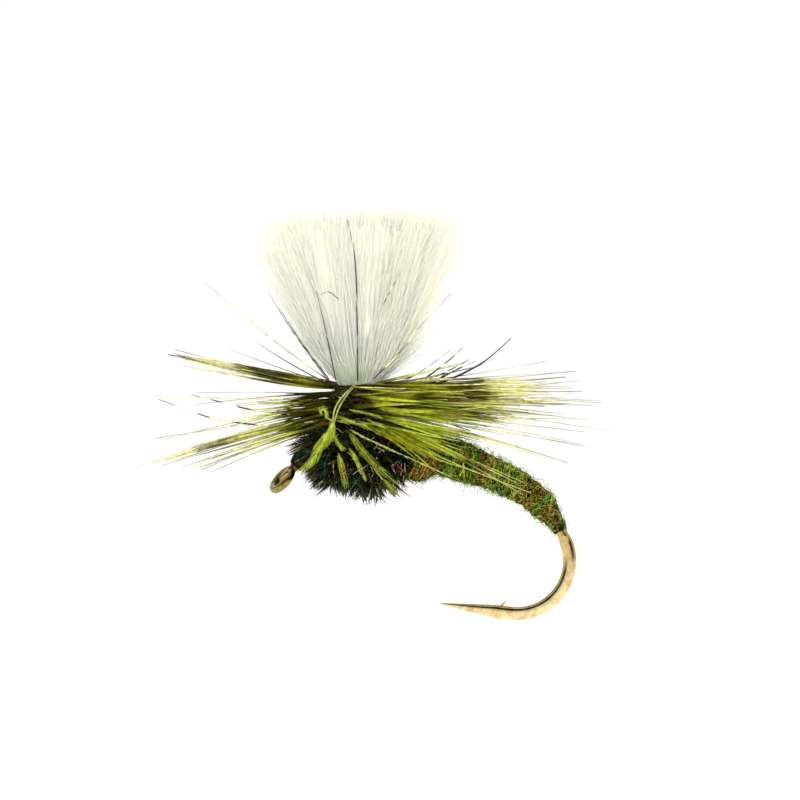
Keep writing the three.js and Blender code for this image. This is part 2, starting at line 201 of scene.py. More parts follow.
def wire_at(distance):
    """x, z and heading of the wire's centreline at distances from the eye's ring."""
    distance = np.asarray(distance, float)
    first = (EYE_RING_RADIUS * math.cos(EYE_HEADING), EYE_RING_RADIUS * math.sin(EYE_HEADING), EYE_HEADING)
    start = 0
    places = np.zeros((3,) + distance.shape)
    for stretch in WIRE_ROUTE:
        length = stretch_length(stretch)
        here = along_stretch(stretch, first, np.minimum(distance - start, length))
        places = np.where(distance >= start, here, places)
        first = along_stretch(stretch, first, length)
        start += length
    return places


def out_of_wire(s, path):
    """Directions from the wire's centre at s to the points of a path."""
    x, z, _ = wire_at(s)
    return path - np.stack([x, 0 * x, z], -1)


def out_of_post(path):
    """Level directions from the post's axis to the points of a path."""
    return path * [1, 1, 0] - [POST_X, 0, 0]


def beside_wire(s, out, y):
    """Points at s along the wire, moved away from the hook's inside and along Y."""
    x, z, heading = wire_at(s)
    return np.stack(np.broadcast_arrays(x - np.sin(heading) * out, y, z + np.cos(heading) * out), -1)


def round_wire(s, angle, radius, sag=0.0):
    """Points round the wire. Angle 0 is away from the hook's inside and a quarter turn is the near side.
    sag moves the centre towards the hook's inside."""
    return beside_wire(s, radius * np.cos(angle) - sag, -radius * np.sin(angle))


def wire_radius(s):
    neck = mix(EYE_WIRE_RADIUS, WIRE_RADIUS, ramp(s, 0, 0.4))
    forged = mix(neck, FORGED_HALF_HEIGHT, ramp(s, FORGED_START, FORGED_START + FORGING_RAMP))
    taper = np.clip((WIRE_LENGTH - s) / POINT_TAPER, 0, 1)
    return mix(POINT_RADIUS, forged, taper**0.8)


def head_radius(s):
    return wire_radius(s) + mix(0.07, 0.3, ramp(s, HEAD[0], HEAD[1] - 0.25))


def butt_radius(s):
    return mix(BUTT_RADIUS, THREAD_BASE_RADIUS + 0.07, ramp(s, 5.5, BUTT[1]))


def abdomen_shape(s):
    """Radius of the abdomen at s, and how far its centre lies towards the hook's inside."""
    share = (s - ABDOMEN[0]) / (ABDOMEN[1] - ABDOMEN[0])
    shoulder = mix(0.82, 1.0, ramp(share, 0, 0.25))
    above = mix(shoulder, 0.75, ramp(share, 0.2, 0.8))
    belly = mix(1.5, 0.86, ramp(share, 0.08, 0.2))
    below = mix(belly, 0.62, ramp(share, 0.35, 0.6))
    end = ramp(share, 0.8, 1)
    above, below = mix(above, 0.48, end), mix(below, 0.48, end)
    return (above + below) / 2, (below - above) / 2


def post_half_width(z):
    return POST_WAIST_RADIUS + POST_SPREAD * np.maximum(0, z - POST_WAIST_TOP) ** POST_FAN


def post_half_depth(z):
    return post_half_width(z) * mix(1, POST_DEPTH_SHARE, ramp(z, POST_WAIST_TOP, 7))


# ---- Meshes of closed tubes ----

def new_object(name, data):
    item = bpy.data.objects.new(name, data)
    bpy.context.scene.collection.objects.link(item)
    return item


def tubes(paths, radii, sides=3, up=(0, 0, 1), flat=1.0):
    """Rings of tubes along (n, k, 3) paths, as (n, k, sides, 3). flat squeezes the section along up."""
    tangent = unit(np.gradient(paths, axis=1))
    side = unit(np.cross(np.broadcast_to(up, paths.shape), tangent))
    upright = np.cross(tangent, side)
    angle = np.arange(sides) * TURN / sides
    reach = np.broadcast_to(radii, paths.shape[:2])[..., None, None]
    across = side[:, :, None] * np.cos(angle)[:, None] + flat * upright[:, :, None] * np.sin(angle)[:, None]
    return paths[:, :, None] + reach * across


def shaft(path, radius, sides=5):
    """Rings of one tube along a path of points."""
    return tubes(path[None], radius[None], sides, up=(0, 1, 0))


def flat_barbs(path, thickness, rng):
    """Rings of flattened barbs, each turned its own way."""
    return tubes(path, thickness, 4, up=rng.normal(0, 1, (len(path), 1, 3)), flat=0.4)


def sleeve(stations, radius, sides, sag=0.0):
    """Rings of one closed body round the wire."""
    angle = np.arange(sides)[None] * TURN / sides
    return round_wire(stations[:, None], angle, np.asarray(radius)[:, None], np.reshape(sag, (-1, 1)))[None]


def tube_faces(rings, sides):
    """Corners, face sizes and map places of one closed tube."""
    ring = np.arange(rings - 1)[:, None] * sides
    here = np.arange(sides)
    after = (here + 1) % sides
    quads = np.stack([ring + here, ring + after, ring + sides + after, ring + sides + here], -1)
    corners = np.concatenate([quads.ravel(), here[::-1], (rings - 1) * sides + here])
    sizes = np.array([4] * ((rings - 1) * sides) + [sides, sides])
    cells = np.stack(np.meshgrid(np.arange(rings - 1), here, indexing="ij"), -1)[:, :, None]
    places = (cells + np.array([(0, 0), (0, 1), (1, 1), (1, 0)])).reshape(-1, 2)
    ends = np.stack([np.repeat([0, rings - 1], sides), np.concatenate([here[::-1], here])], -1)
    return corners, sizes, np.vstack([places, ends]) / [rings - 1, sides]


def map_cells(count, places, low, high):
    """Lays the maps of equal tubes out in rows between two heights of the unit square."""
    columns = max(1, round(math.sqrt(count / 8)))
    rows = math.ceil(count / columns)
    number = np.arange(count)
    corner = np.stack([number % columns / columns, low + (high - low) * (number // columns) / rows], -1)
    cell = np.array([1 / columns, (high - low) / rows])
    return corner[:, None] + cell * (0.06 + 0.88 * places[None])


def tube_area(rings):
    around = rings.shape[2] * np.linalg.norm(rings[:, :, 1] - rings[:, :, 0], axis=-1)[:, 1:]
    along = np.linalg.norm(np.diff(rings[:, :, 0], axis=1), axis=-1)
    return float((around * along).sum())


def joined(groups):
    """Vertices, tints, faces' corners and sizes, and map places of groups of tubes, each (rings, tints).
    Tints are one colour, or a colour for each ring or for each point of the rings. The groups share the
    unit square out by their areas."""
    areas = [tube_area(rings) for rings, _ in groups]
    parts = []
    base = 0
    low = 0.0
    for (rings, tint), area in zip(groups, areas):
        count, k, sides, _ = rings.shape
        high = low + area / sum(areas)
        corners, sizes, places = tube_faces(k, sides)
        corners = base + np.arange(count)[:, None] * k * sides + corners
        tint = np.asarray(tint, float)
        if tint.ndim < 4:
            tint = np.broadcast_to(tint, (count, k, 3))[:, :, None]
        tint = np.broadcast_to(tint, rings.shape)
        maps = map_cells(count, places, low, high).reshape(-1, 2)
        sizes = np.tile(sizes, count)
        parts.append((rings.reshape(-1, 3), tint.reshape(-1, 3), corners.ravel(), sizes, maps))
        base += count * k * sides
        low = high
    return [np.concatenate(part) for part in zip(*parts)]


def add_piece(name, node, slot, groups):
    """Makes one mesh of groups of tubes, in place of a CAD node."""
    vertices, tints, corners, sizes, maps = joined(groups)
    mesh = bpy.data.meshes.new(name)
    mesh.vertices.add(len(vertices))
    mesh.vertices.foreach_set("co", (vertices * MM).ravel())
    mesh.loops.add(len(corners))
    mesh.loops.foreach_set("vertex_index", corners)
    mesh.polygons.add(len(sizes))
    mesh.polygons.foreach_set("loop_start", np.cumsum(sizes) - sizes)
    mesh.update(calc_edges=True)
    opaque = np.hstack([np.clip(tints, 0, 1), np.ones((len(tints), 1))])
    mesh.attributes.new("tint", "FLOAT_COLOR", "POINT").data.foreach_set("color", opaque.ravel())
    mesh.uv_layers.new(name="OFBake").data.foreach_set("uv", maps.ravel())
    mesh.shade_smooth()
    mesh.materials.append(MATERIALS[slot])
    piece = new_object(name, mesh)
    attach(piece, "root")
    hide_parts(node)


# ---- Materials ----

def add_node(tree, kind, values=(), sources=(), **properties):
    """Adds a node with the given input values, links into its inputs, and other properties."""
    node = tree.nodes.new(kind)
    for name, value in properties.items():
        setattr(node, name, value)
    for socket, value in dict(values).items():
        node.inputs[socket].default_value = value
    for socket, source in dict(sources).items():
        tree.links.new(source, node.inputs[socket])
    return node


def colour_ramp(tree, source, stops):
    """A ramp through stops, each a position and a linear colour, that follows another node's output."""
    node = add_node(tree, "ShaderNodeValToRGB", (), {"Fac": source})
    elements = node.color_ramp.elements
    while len(elements) < len(stops):
        elements.new(1.0)
    for element, (position, shade) in zip(elements, stops):
        element.position = position
        element.color = (*shade, 1)
    return node.outputs["Color"]


def new_material(name, settings):
    """A material and its shader with the given settings."""
    material = bpy.data.materials.new(name)
    material.use_nodes = True
    shader = material.node_tree.nodes["Principled BSDF"]
    for socket, value in settings.items():
        shader.inputs[socket].default_value = value
    return material, shader


def noisy_material(name, settings, noise_settings, roughness, relief):
    """A material whose roughness, between two values, and fine relief follow one noise. Also gives its node
    tree, the noise, the mesh's own tint and the input for the colour, which is still to be linked."""
    material, shader = new_material(name, settings)
    tree = material.node_tree
    place = add_node(tree, "ShaderNodeTexCoord").outputs["Object"]
    noise = add_node(tree, "ShaderNodeTexNoise", noise_settings, {"Vector": place}).outputs["Fac"]
    tint = add_node(tree, "ShaderNodeAttribute", attribute_name="tint").outputs["Color"]
    limits = {"To Min": roughness[0], "To Max": roughness[1]}
    gloss = add_node(tree, "ShaderNodeMapRange", limits, {"Value": noise})
    bump = add_node(tree, "ShaderNodeBump", {"Distance": relief * MM}, {"Height": noise})
    tree.links.new(gloss.outputs["Result"], shader.inputs["Roughness"])
    tree.links.new(bump.outputs["Normal"], shader.inputs["Normal"])
    return material, tree, noise, tint, shader.inputs["Base Color"]


def tinted_material(name, specular, grain, contrast, relief, roughness, more=()):
    """The mesh's own tint and a roughness, both broken up by noise with the given grain, over fine relief."""
    settings = {"Specular IOR Level": specular, **dict(more)}
    noise_settings = {"Scale": 1 / (grain * MM), "Detail": 4}
    spread = (roughness - 0.12, roughness + 0.12)
    material, tree, noise, tint, colour_input = noisy_material(name, settings, noise_settings, spread, relief)
    limits = {"From Min": 0.3, "From Max": 0.7, "To Min": 1 - contrast, "To Max": 1 + contrast}
    shade = add_node(tree, "ShaderNodeMapRange", limits, {"Value": noise}).outputs["Result"]
    scaled = add_node(tree, "ShaderNodeVectorMath", (), {0: tint, "Scale": shade}, operation="SCALE")
    tree.links.new(scaled.outputs["Vector"], colour_input)
    return material


# How light passes through the yarn's fibres, and how far
YARN_DEPTH = {"Subsurface Weight": 0.7, "Subsurface Radius": (1, 1, 0.9), "Subsurface Scale": 0.06 * MM}
# Specular level, grain, contrast, relief, roughness and any other settings
TINTED = {
    "white_yarn": (0.1, 0.4, 0.03, 0.005, 0.6, YARN_DEPTH),
    "olive_hackle": (0.06, 0.25, 0.35, 0.01, 0.36),
    "olive_quill": (0.3, 0.2, 0.3, 0.02, 0.38),
    "olive_dubbing": (0.03, 0.14, 0.85, 0.02, 0.75),
    "peacock_herl": (0.28, 0.15, 0.6, 0.01, 0.26, {"Specular Tint": (0.45, 0.8, 0.5, 1)}),
    "dark_thread": (0.05, 0.15, 0.4, 0.01, 0.55),
    "head_lacquer": (0.03, 0.12, 0.9, 0.05, 0.5, {"Coat Weight": 0.04, "Coat Roughness": 0.06}),
}
MATERIALS = {slot: tinted_material(slot, *looks) for slot, looks in TINTED.items()}


def bronzed_wire():
    """Polished gold-bronze, mottled with ochre where its lacquer is thicker, times the mesh's own tint:
    painted shade at the neck, painted shade and dark reflections on the eye, and darker stretches elsewhere.
    """
    patches = {"Scale": 1 / (0.5 * MM), "Detail": 6, "Roughness": 0.7}
    material, tree, noise, tint, colour_input = noisy_material(
        "bronzed_wire", {"Metallic": 1.0}, patches, (0.06, 0.3), 0.004
    )
    gilding = colour_ramp(tree, noise, [(0.36, OCHRE), (0.56, GOLD)])
    tarnished = add_node(tree, "ShaderNodeVectorMath", (), {0: gilding, 1: tint}, operation="MULTIPLY")
    tree.links.new(tarnished.outputs["Vector"], colour_input)
    return material


GOLD = colour(232, 214, 168)
OCHRE = colour(204, 168, 102)
UNDARKENED = np.ones(3)
SHANK_DARKENING = np.array([0.68, 0.62, 0.47])
OLIVE_DARKENING = np.array([0.36, 0.35, 0.23])
# Painted shade for the neck under the head
HEAD_SHADE = np.array([0.12, 0.1, 0.07])
MATERIALS["bronzed_wire"] = bronzed_wire()

THREAD_BROWN = colour(30, 19, 9)
THREAD_BLACK = colour(8, 6, 4)


# ---- Hook ----

def hook_wire():
    s = np.linspace(0, WIRE_LENGTH, 520)
    half_height = wire_radius(s)
    pressed = ramp(s, FORGED_START, FORGED_START + FORGING_RAMP)
    half_thickness = np.minimum(half_height, mix(FORGED_HALF_HEIGHT, FORGED_HALF_THICKNESS, pressed))
    angle = np.arange(48) * TURN / 48
    up = np.cos(angle) * half_height[:, None]
    near = np.sin(angle) * half_thickness[:, None]
    # Darker over the last stretch before the point.
    near_point = ramp(s, WIRE_LENGTH - 2.2, WIRE_LENGTH)[:, None]
    # Painted shade: the neck beside the eye is darkened as if the head shadowed it.
    head_shade = ramp(-s, -0.6, -0.1)[:, None]
    # Darker along the shank, lightening through the bend towards the point.
    tint = mix(SHANK_DARKENING, UNDARKENED, ramp(s, FORGED_START, WIRE_LENGTH - 5)[:, None])
    tint = mix(mix(tint, OLIVE_DARKENING, 0.35 * near_point), HEAD_SHADE, head_shade)
    return beside_wire(s[:, None], up, -near)[None], tint


def eye_ring():
    """The wire's thinned end, bent round into a ring that closes against the shank."""
    along = np.array([math.cos(EYE_HEADING), 0, math.sin(EYE_HEADING)])
    upright = np.array([-math.sin(EYE_HEADING), 0, math.cos(EYE_HEADING)])
    across = np.array([0, math.cos(EYE_TWIST), 0]) + upright * math.sin(EYE_TWIST)
    sweep = np.radians(np.linspace(0, 352, 120))
    path = EYE_RING_RADIUS * (np.cos(sweep)[:, None] * along + np.sin(sweep)[:, None] * across)
    radius = EYE_WIRE_RADIUS * mix(1, 0.72, ramp(sweep, math.radians(250), math.radians(352)))
    # The ring is darkened all over: painted shade and painted dark reflections.
    return tubes(path[None], radius[None], 24, up=np.cross(along, across)), OLIVE_DARKENING


def barb_spur():
    """A sliver cut up out of the spear, leaning back towards the bend."""
    x, z, _ = wire_at(WIRE_LENGTH - BARB_BEFORE_POINT)
    root = np.array([x - 0.5, 0, z + 0.1])
    handle = np.array([x + 0.05, 0, z + 0.2])
    tip = np.array([x + 0.24, 0, z + 0.64])
    path = bend(root[None], handle[None], tip[None], 16)
    radius = mix(0.2, 0.02, steps(16) ** 0.8)
    return tubes(path, radius[None], 12, up=(0, 1, 0), flat=0.8), UNDARKENED


add_piece("hook_wire", "hook", "bronzed_wire", [hook_wire(), eye_ring(), barb_spur()])


# ---- Thread ----

def wound_on_wire(span, radius_at):
    """Thread wound along the wire in touching turns, and the body under it."""
    start, end = span
    turns = (end - start) / THREAD_PITCH
    t = steps(int(turns * 20))
    s = mix(start, end, t)
    angle = TURN * turns * t
    path = round_wire(s, angle, radius_at(s) - THREAD_RADIUS)[None]
    brown = 0.5 + 0.5 * np.sin(angle * 0.37 + np.sin(angle * 0.05) * 4)
    tint = mix(THREAD_BLACK, THREAD_BROWN, brown[:, None])
    stations = np.linspace(start, end, 24)
    core = sleeve(stations, radius_at(stations) - 1.4 * THREAD_RADIUS, 24)
    return [(tubes(path, THREAD_RADIUS, 6, up=out_of_wire(s, path)), tint), (core, THREAD_BLACK)]


def wound_on_post(node, inset=0.0):
    """Thread wound up the post in touching turns, in the place of a CAD node or further in."""
    low, high = box_of(node)
    turns = (high[2] - low[2]) / THREAD_PITCH
    t = steps(int(turns * 30))
    angle = TURN * turns * t
    reach = (high[0] - low[0]) / 2 - inset - THREAD_RADIUS
    z = mix(low[2], high[2], t) + 0.015 * np.sin(angle * 0.31)
    path = np.stack([POST_X + reach * np.cos(angle), reach * np.sin(angle), z], -1)[None]
    tint = mix(THREAD_BLACK, THREAD_BROWN, 0.5 + 0.5 * np.sin(angle * 0.23)[:, None])
    return tubes(path, THREAD_RADIUS, 6, up=out_of_post(path)), tint


def whip_finish():
    """The last strands, drawn slantwise over the head's turns."""
    strands = []
    for start, slant in ((0.4, 0.5), (0.55, 0.6), (0.7, 0.45)):
        angle = np.linspace(0, 0.9 * TURN, 30)
        s = start + slant * angle / TURN
        path = round_wire(s, angle + start * 9, head_radius(s) + 0.3 * THREAD_RADIUS)[None]
        strands.append((tubes(path, THREAD_RADIUS, 6, up=out_of_wire(s, path)), THREAD_BROWN))
    return strands


def thread_base_radius(s):
    return np.full_like(s, THREAD_BASE_RADIUS)


def tie_in_radius(s):
    return wire_radius(s) + mix(0.14, 0.07, (s - TIE_IN[0]) / (TIE_IN[1] - TIE_IN[0]))


def lashing_radius(s):
    return butt_radius(s) + 0.08


add_piece("head_windings", "head_thread", "dark_thread", wound_on_wire(HEAD, head_radius) + whip_finish())
for name, node, span, radius_at in (
    ("shank_windings", "shank_thread_base", THREAD_BASE, thread_base_radius),
    ("tie_in_windings", "rear_tie_in_wraps", TIE_IN, tie_in_radius),
    ("lashing_windings", "post_lashing_wraps", LASHING, lashing_radius),
):
    add_piece(name, node, "dark_thread", wound_on_wire(span, radius_at))
add_piece("post_windings", "post_base_wraps", "dark_thread", [wound_on_post("post_base_wraps")])
tie_off = [wound_on_post("hackle_tie_off_wraps", inset) for inset in (0.0, 0.06)]
add_piece("tie_off_windings", "hackle_tie_off_wraps", "dark_thread", tie_off)


LACQUER_END = 0.95


def head_lacquer():
    """A clear coat that follows the ridges of the thread under it."""
    s = np.linspace(HEAD[0], LACQUER_END, 90)
    ridges = 0.012 * np.cos(TURN * (s - HEAD[0]) / THREAD_PITCH)
    rounded = 0.05 * np.sin(math.pi * (s - HEAD[0]) / (LACQUER_END - HEAD[0])) ** 0.5
    return sleeve(s, head_radius(s) + 0.01 + rounded + ridges, 40), colour(22, 13, 6)


add_piece("head_lacquer", "head_cement", "head_lacquer", [head_lacquer()])


# ---- Abdomen ----

RUST = colour(144, 86, 36)
MOSS = colour(78, 140, 18)
OLIVE = colour(164, 164, 44)
BARK = colour(96, 58, 22)
STRAW = colour(206, 200, 110)
LIME = colour(150, 186, 60)

# Colour of the dubbing in each turn, from the thorax to the bend
DUBBING_TURNS = [
    RUST, RUST, BARK, MOSS, OLIVE, MOSS, RUST, OLIVE,
    MOSS, MOSS, OLIVE, BARK, RUST, MOSS, RUST, BARK,
]
TURN_PITCH = (ABDOMEN[1] - ABDOMEN[0]) / len(DUBBING_TURNS)
DUBBING_GROOVE = 0.022
THINNING_START = 13.9
DUBBING_END = TIE_IN[1] - 0.05
ABDOMEN_FIBRES = 2300  # in each of its three pieces


def dubbing_radius(s, angle):
    """Radius of the wound turns with the grooves between them, thinning out over the thread at the end."""
    phase = (s - ABDOMEN[0]) / TURN_PITCH - angle / TURN
    turns = DUBBING_GROOVE * np.sin(TURN * phase + np.sin(1.7 * s)) + 0.04 * np.sin(2.3 * s + 2 * angle)
    end = wire_radius(DUBBING_END) + 0.03
    return mix(abdomen_shape(s)[0] + turns, end, ramp(s, THINNING_START, DUBBING_END))


def dubbing_place(s, angle, radius):
    return round_wire(s, angle, radius, abdomen_shape(np.minimum(s, ABDOMEN[1]))[1])


def dubbing_tints(s, angle, rng):
    """Mostly the colour of the fibre's own turn, and now and then another."""
    palette = np.array([RUST, MOSS, OLIVE, BARK, STRAW, MOSS, OLIVE])
    turn = ((s[:, 0] - ABDOMEN[0]) / TURN_PITCH - angle[:, 0] / TURN).astype(int)
    own = np.array(DUBBING_TURNS)[np.clip(turn, 0, len(DUBBING_TURNS) - 1)]
    other = palette[rng.integers(0, len(palette), len(s))]
    tint = np.where(rng.random((len(s), 1)) < 0.8, own, other)
    patch = 0.9 + 0.35 * np.sin(7.3 * s + 2 * angle) * np.sin(4.1 * s - 3 * angle)
    shade = rng.choice([0.04, 0.4, 0.9, 1.4], (len(s), 1), p=[0.34, 0.26, 0.24, 0.16])
    return tint * (patch * shade)


def abdomen_core():
    s = np.linspace(ABDOMEN[0], DUBBING_END, 260)
    angle = np.arange(40) * TURN / 40
    radius = dubbing_radius(s[:, None], angle[None]) - 0.09
    # Tinted near black: painted shade in the gaps between the fibres.
    return dubbing_place(s[:, None], angle[None], radius)[None], BARK * 0.12


def wound_fibres(count, rng):
    """Fibres that lie round the body, each along its turn with a slant of its own."""
    t = steps(8)
    s0 = rng.uniform(ABDOMEN[0] + 0.05, DUBBING_END, (count, 1))
    angle0 = rng.uniform(0, TURN, (count, 1))
    span = np.radians(rng.uniform(15, 85, (count, 1)))
    slant = rng.normal(0.06, 0.26, (count, 1))
    angle = angle0 + span * t
    s = np.clip(s0 + TURN_PITCH * span * t / TURN + slant * t, ABDOMEN[0], DUBBING_END)
    lift = rng.uniform(-0.06, 0.05, (count, 1)) + 0.07 * np.sin(math.pi * t) - 0.05
    path = dubbing_place(s, angle, dubbing_radius(s, angle) + lift)
    thickness = (0.01 + 0.03 * rng.random((count, 1)) ** 3) * (1 - 0.5 * np.abs(2 * t - 1) ** 3)
    return tubes(path, thickness, 3, up=out_of_wire(s, path)), dubbing_tints(s0, angle0, rng)[:, None]


def abdomen_fuzz(count, rng):
    """Loose ends and loops that stand off the body."""
    t = steps(8)
    s0 = rng.uniform(ABDOMEN[0], DUBBING_END, (count, 1))
    angle0 = rng.uniform(0, TURN, (count, 1))
    height = rng.gamma(2.0, 0.11, (count, 1)) * t**0.8 * (1.4 - 0.6 * t)
    sweep = rng.normal(0, 0.35, (count, 1))
    swing = rng.normal(0.5, 0.5, (count, 1))
    loops = rng.uniform(1.0, 2.2, (count, 1))
    s = s0 + sweep * t + 0.06 * np.sin(loops * TURN * t)
    angle = angle0 + swing * t
    radius = dubbing_radius(np.clip(s, ABDOMEN[0], DUBBING_END), angle) - 0.05 + height
    pale = np.where(rng.random((count, 1)) < 0.5, STRAW, LIME)
    tint = mix(dubbing_tints(s0, angle0, rng), pale, rng.uniform(0, 0.9, (count, 1)))[:, None]
    return tubes(dubbing_place(s, angle, radius), mix(0.012, 0.005, t), 3, up=(0.3, 0.9, 0.3)), tint


abdomen_rng = np.random.default_rng(11)
wound = [[wound_fibres(ABDOMEN_FIBRES, abdomen_rng)] for _ in range(2)]
add_piece("abdomen_body", "abdomen_dubbing", "olive_dubbing", [abdomen_core(), *wound[0]])
add_piece("abdomen_wrap", "abdomen_dubbing", "olive_dubbing", wound[1])
add_piece("abdomen_fuzz", "abdomen_dubbing", "olive_dubbing", [abdomen_fuzz(ABDOMEN_FIBRES, abdomen_rng)])


# ---- Thorax of peacock herl ----

HERL_BLACK = colour(6, 6, 4)
HERL_STEM = colour(24, 18, 12)
HERL_GREEN = colour(36, 106, 44)
HERL_TEAL = colour(28, 98, 86)
HERL_BRONZE = colour(124, 80, 36)
HERL_PAINTED_GLINT = colour(190, 176, 132)

HERL_DEPTH = 0.6  # of its stem, below the tips of its flues
FLUES_PER_SPAN = 1500
FRONT_FLUES = 900
FLUE_STEPS = 6
HERL_SPANS = {
    "front": {"start": 1.53, "end": 2.9, "above": (0.75, 0.9), "below": (1.9, 2.4), "lean": -1.1},
    "middle": {"start": 2.92, "end": 4.81, "above": (0.9, 0.95), "below": (2.4, 2.8), "lean": 0},
    "rear": {"start": 4.83, "end": 6.53, "above": (0.95, 0.92), "below": (2.8, 1.5), "lean": 0.1},
}


def herl_shape(span, s):
    """Radius of the herl's outside at s, and how far its centre lies towards the hook's inside."""
    along = (s - span["start"]) / (span["end"] - span["start"])
    top = mix(*span["above"], along)
    bottom = mix(*span["below"], along)
    return (top + bottom) / 2, (bottom - top) / 2


def herl_core(span):
    s = np.linspace(span["start"], span["end"], 30)
    radius, sag = herl_shape(span, s)
    return sleeve(s, radius - HERL_DEPTH - 0.02, 32, sag), HERL_BLACK


def herl_quill(span):
    """The herl's own stem, wound over the core."""
    turns = round((span["end"] - span["start"]) / 0.3)
    t = steps(turns * 30)
    s = mix(span["start"] + 0.1, span["end"] - 0.1, t)
    radius, sag = herl_shape(span, s)
    path = round_wire(s, TURN * turns * t, radius - HERL_DEPTH, sag)[None]
    return tubes(path, 0.07, 6, up=out_of_wire(s, path)), HERL_STEM


def herl_tints(patch, count, rng):
    """Black with a shimmer of green and teal or of bronze by patches, and a few flues painted pale as glints:
    painted highlights.
    """
    shimmer = patch + rng.normal(0, 0.5, (count, 1))
    cool = np.where(rng.random((count, 1, 1)) < 0.4, HERL_TEAL, HERL_GREEN)
    hue = np.where(shimmer[..., None] > 0, cool, HERL_BRONZE)
    tint = mix(HERL_BLACK, hue, rng.beta(0.5, 2.0, (count, 1, 1)))
    # Painted highlights: a few flues take a pale glint colour.
    return np.where(rng.random((count, 1, 1)) < 0.05, HERL_PAINTED_GLINT, tint)


def flues(path, patch, rng):
    """Flat barbs along paths, coloured by patches, darker at the root and brighter towards their tips:
    painted shade deep in the herl and painted light at the tips.
    """
    count = len(path)
    t = steps(FLUE_STEPS)
    # Painted shade near the roots and painted light at the tips.
    tint = herl_tints(patch, count, rng) * mix(0.5, 1.4, t[..., None] ** 2)
    thickness = rng.uniform(0.03, 0.065, (count, 1)) * (1 - 0.85 * t**2)
    return flat_barbs(path, thickness, rng), tint


def herl_flues(span, count, rng):
    """Short stiff barbs that stand out of the wound stem all round."""
    t = steps(FLUE_STEPS)
    s0 = rng.uniform(span["start"], span["end"], (count, 1))
    angle0 = rng.uniform(0, TURN, (count, 1))
    length = rng.normal(HERL_DEPTH - 0.02, 0.26, (count, 1))
    lean = rng.normal(0, 0.4, (count, 1)) + span["lean"] * rng.random((count, 1))
    swirl = rng.normal(0.1, 0.16, (count, 1))
    radius0, sag = herl_shape(span, s0)
    s = np.maximum(s0 + lean * t**1.4, HEAD[0] + 0.2)
    path = round_wire(s, angle0 + swirl * t**1.5, radius0 - HERL_DEPTH + (length + 0.1) * t, sag)
    return flues(path, np.sin(5 * s0 + 2 * angle0 + 1) * np.sin(3 * angle0 - 2 * s0) - 0.1, rng)


def front_flues(count, rng):
    """The first turn's barbs, which lean forward and down over the head."""
    span = HERL_SPANS["front"]
    s0 = rng.uniform(span["start"], span["start"] + 0.5, count)
    angle0 = rng.uniform(math.radians(40), math.radians(320), count)
    radius, sag = herl_shape(span, s0)
    root = round_wire(s0, angle0, radius * rng.uniform(0.3, 0.95, count), sag)
    direction = unit(rng.normal(0, 1, (count, 3)) * [0.2, 0.35, 0.3] + [-0.9, 0, -0.35])
    tip = root + direction * rng.uniform(0.6, 1.35, (count, 1))
    path = bend(root, (root + tip) / 2 + [0, 0, 0.1], tip, FLUE_STEPS)
    return flues(path, np.sin(9 * angle0)[:, None], rng)


for number, (place, span) in enumerate(HERL_SPANS.items()):
    rng = np.random.default_rng(21 + number)
    groups = [herl_core(span), herl_quill(span), herl_flues(span, FLUES_PER_SPAN, rng)]
    if place == "front":
        groups.append(front_flues(FRONT_FLUES, rng))
    add_piece(f"herl_{place}", f"thorax_herl_{place}", "peacock_herl", groups)


# ---- Wing post ----

# Painted shade colour of the yarn at the waist
WING_SHADE = colour(212, 223, 186)
WING_WHITE = colour(254, 254, 236)
WING_CREAM = colour(255, 251, 230)
WING_CORE_SHARE = 0.92
YARN_START = 2.6  # height at which it leaves the shank
HALF_WING_FIBRES = 2200
WING_FUZZ = 1700
BUTT_FIBRES = 120


def wing_tint(across, z):
    """Painted greenish grey shade low at the waist's front, white above, lifted to white as painted light on
    the side towards the bend, and cream towards the bend.
    """
    # Painted shade low on the waist; painted light on the side towards the bend, where the lamps leave it
    # dim.
    height = np.maximum(ramp(z, 4.5, 7.6), 0.9 * ramp(across, 0.15, 0.7))[..., None]
    cream = ramp(across, -0.2, 0.7)[..., None] * height
    return mix(mix(WING_SHADE, WING_WHITE, height), WING_CREAM, cream)


def in_fan(u, v, z):
    """Places in the yarn's fan, at shares of its half width and half depth."""
    return np.stack([POST_X + u * post_half_width(z), v * post_half_depth(z), z], -1)


def wing_core(rng):
    """The inner mass of the yarn, combed into fine ridges. It stops short of the fibres' cut ends, in a top
    stippled with the ends of its own."""
    sides, top_rings = 360, 34
    angle = np.arange(sides)[None] * TURN / sides
    end = POST_TOP - 0.55 + 0.25 * np.sin(17 * angle) * np.sin(5 * angle + 1) + 0.12 * np.sin(41 * angle)
    end = end - 0.7 * np.cos(angle) ** 6
    z = mix(YARN_START, end, steps(70)[:, None])
    ridges = sum(0.005 * np.sin(count * angle + 0.4 * count + 0.3 * z) for count in (17, 31, 53, 71, 97))
    share = mix(0.78, WING_CORE_SHARE, ramp(z, 4.8, 7.5)) + ridges
    share = share * (1 - 0.3 * ramp(z, end - 0.6, end))
    inwards = np.linspace(0.97, 0.01, top_rings)[:, None]
    stipple = rng.uniform(-1, 1, (top_rings, sides))
    z = np.vstack([z, mix(POST_TOP - 0.5, end, inwards**4) + 0.07 * stipple])
    # Painted shade in the hollows of the ridges and the stippled top, painted light on their crests.
    painted_ridge_shading = np.vstack([1 + 1.5 * ridges, 1.01 + 0.08 * stipple])
    share = np.vstack([share, share[-1:] * inwards])
    u = share * np.cos(angle)
    tint = wing_tint(u, z) * (0.96 * painted_ridge_shading)[..., None]
    return in_fan(u, share * np.sin(angle), z)[None], tint[None]


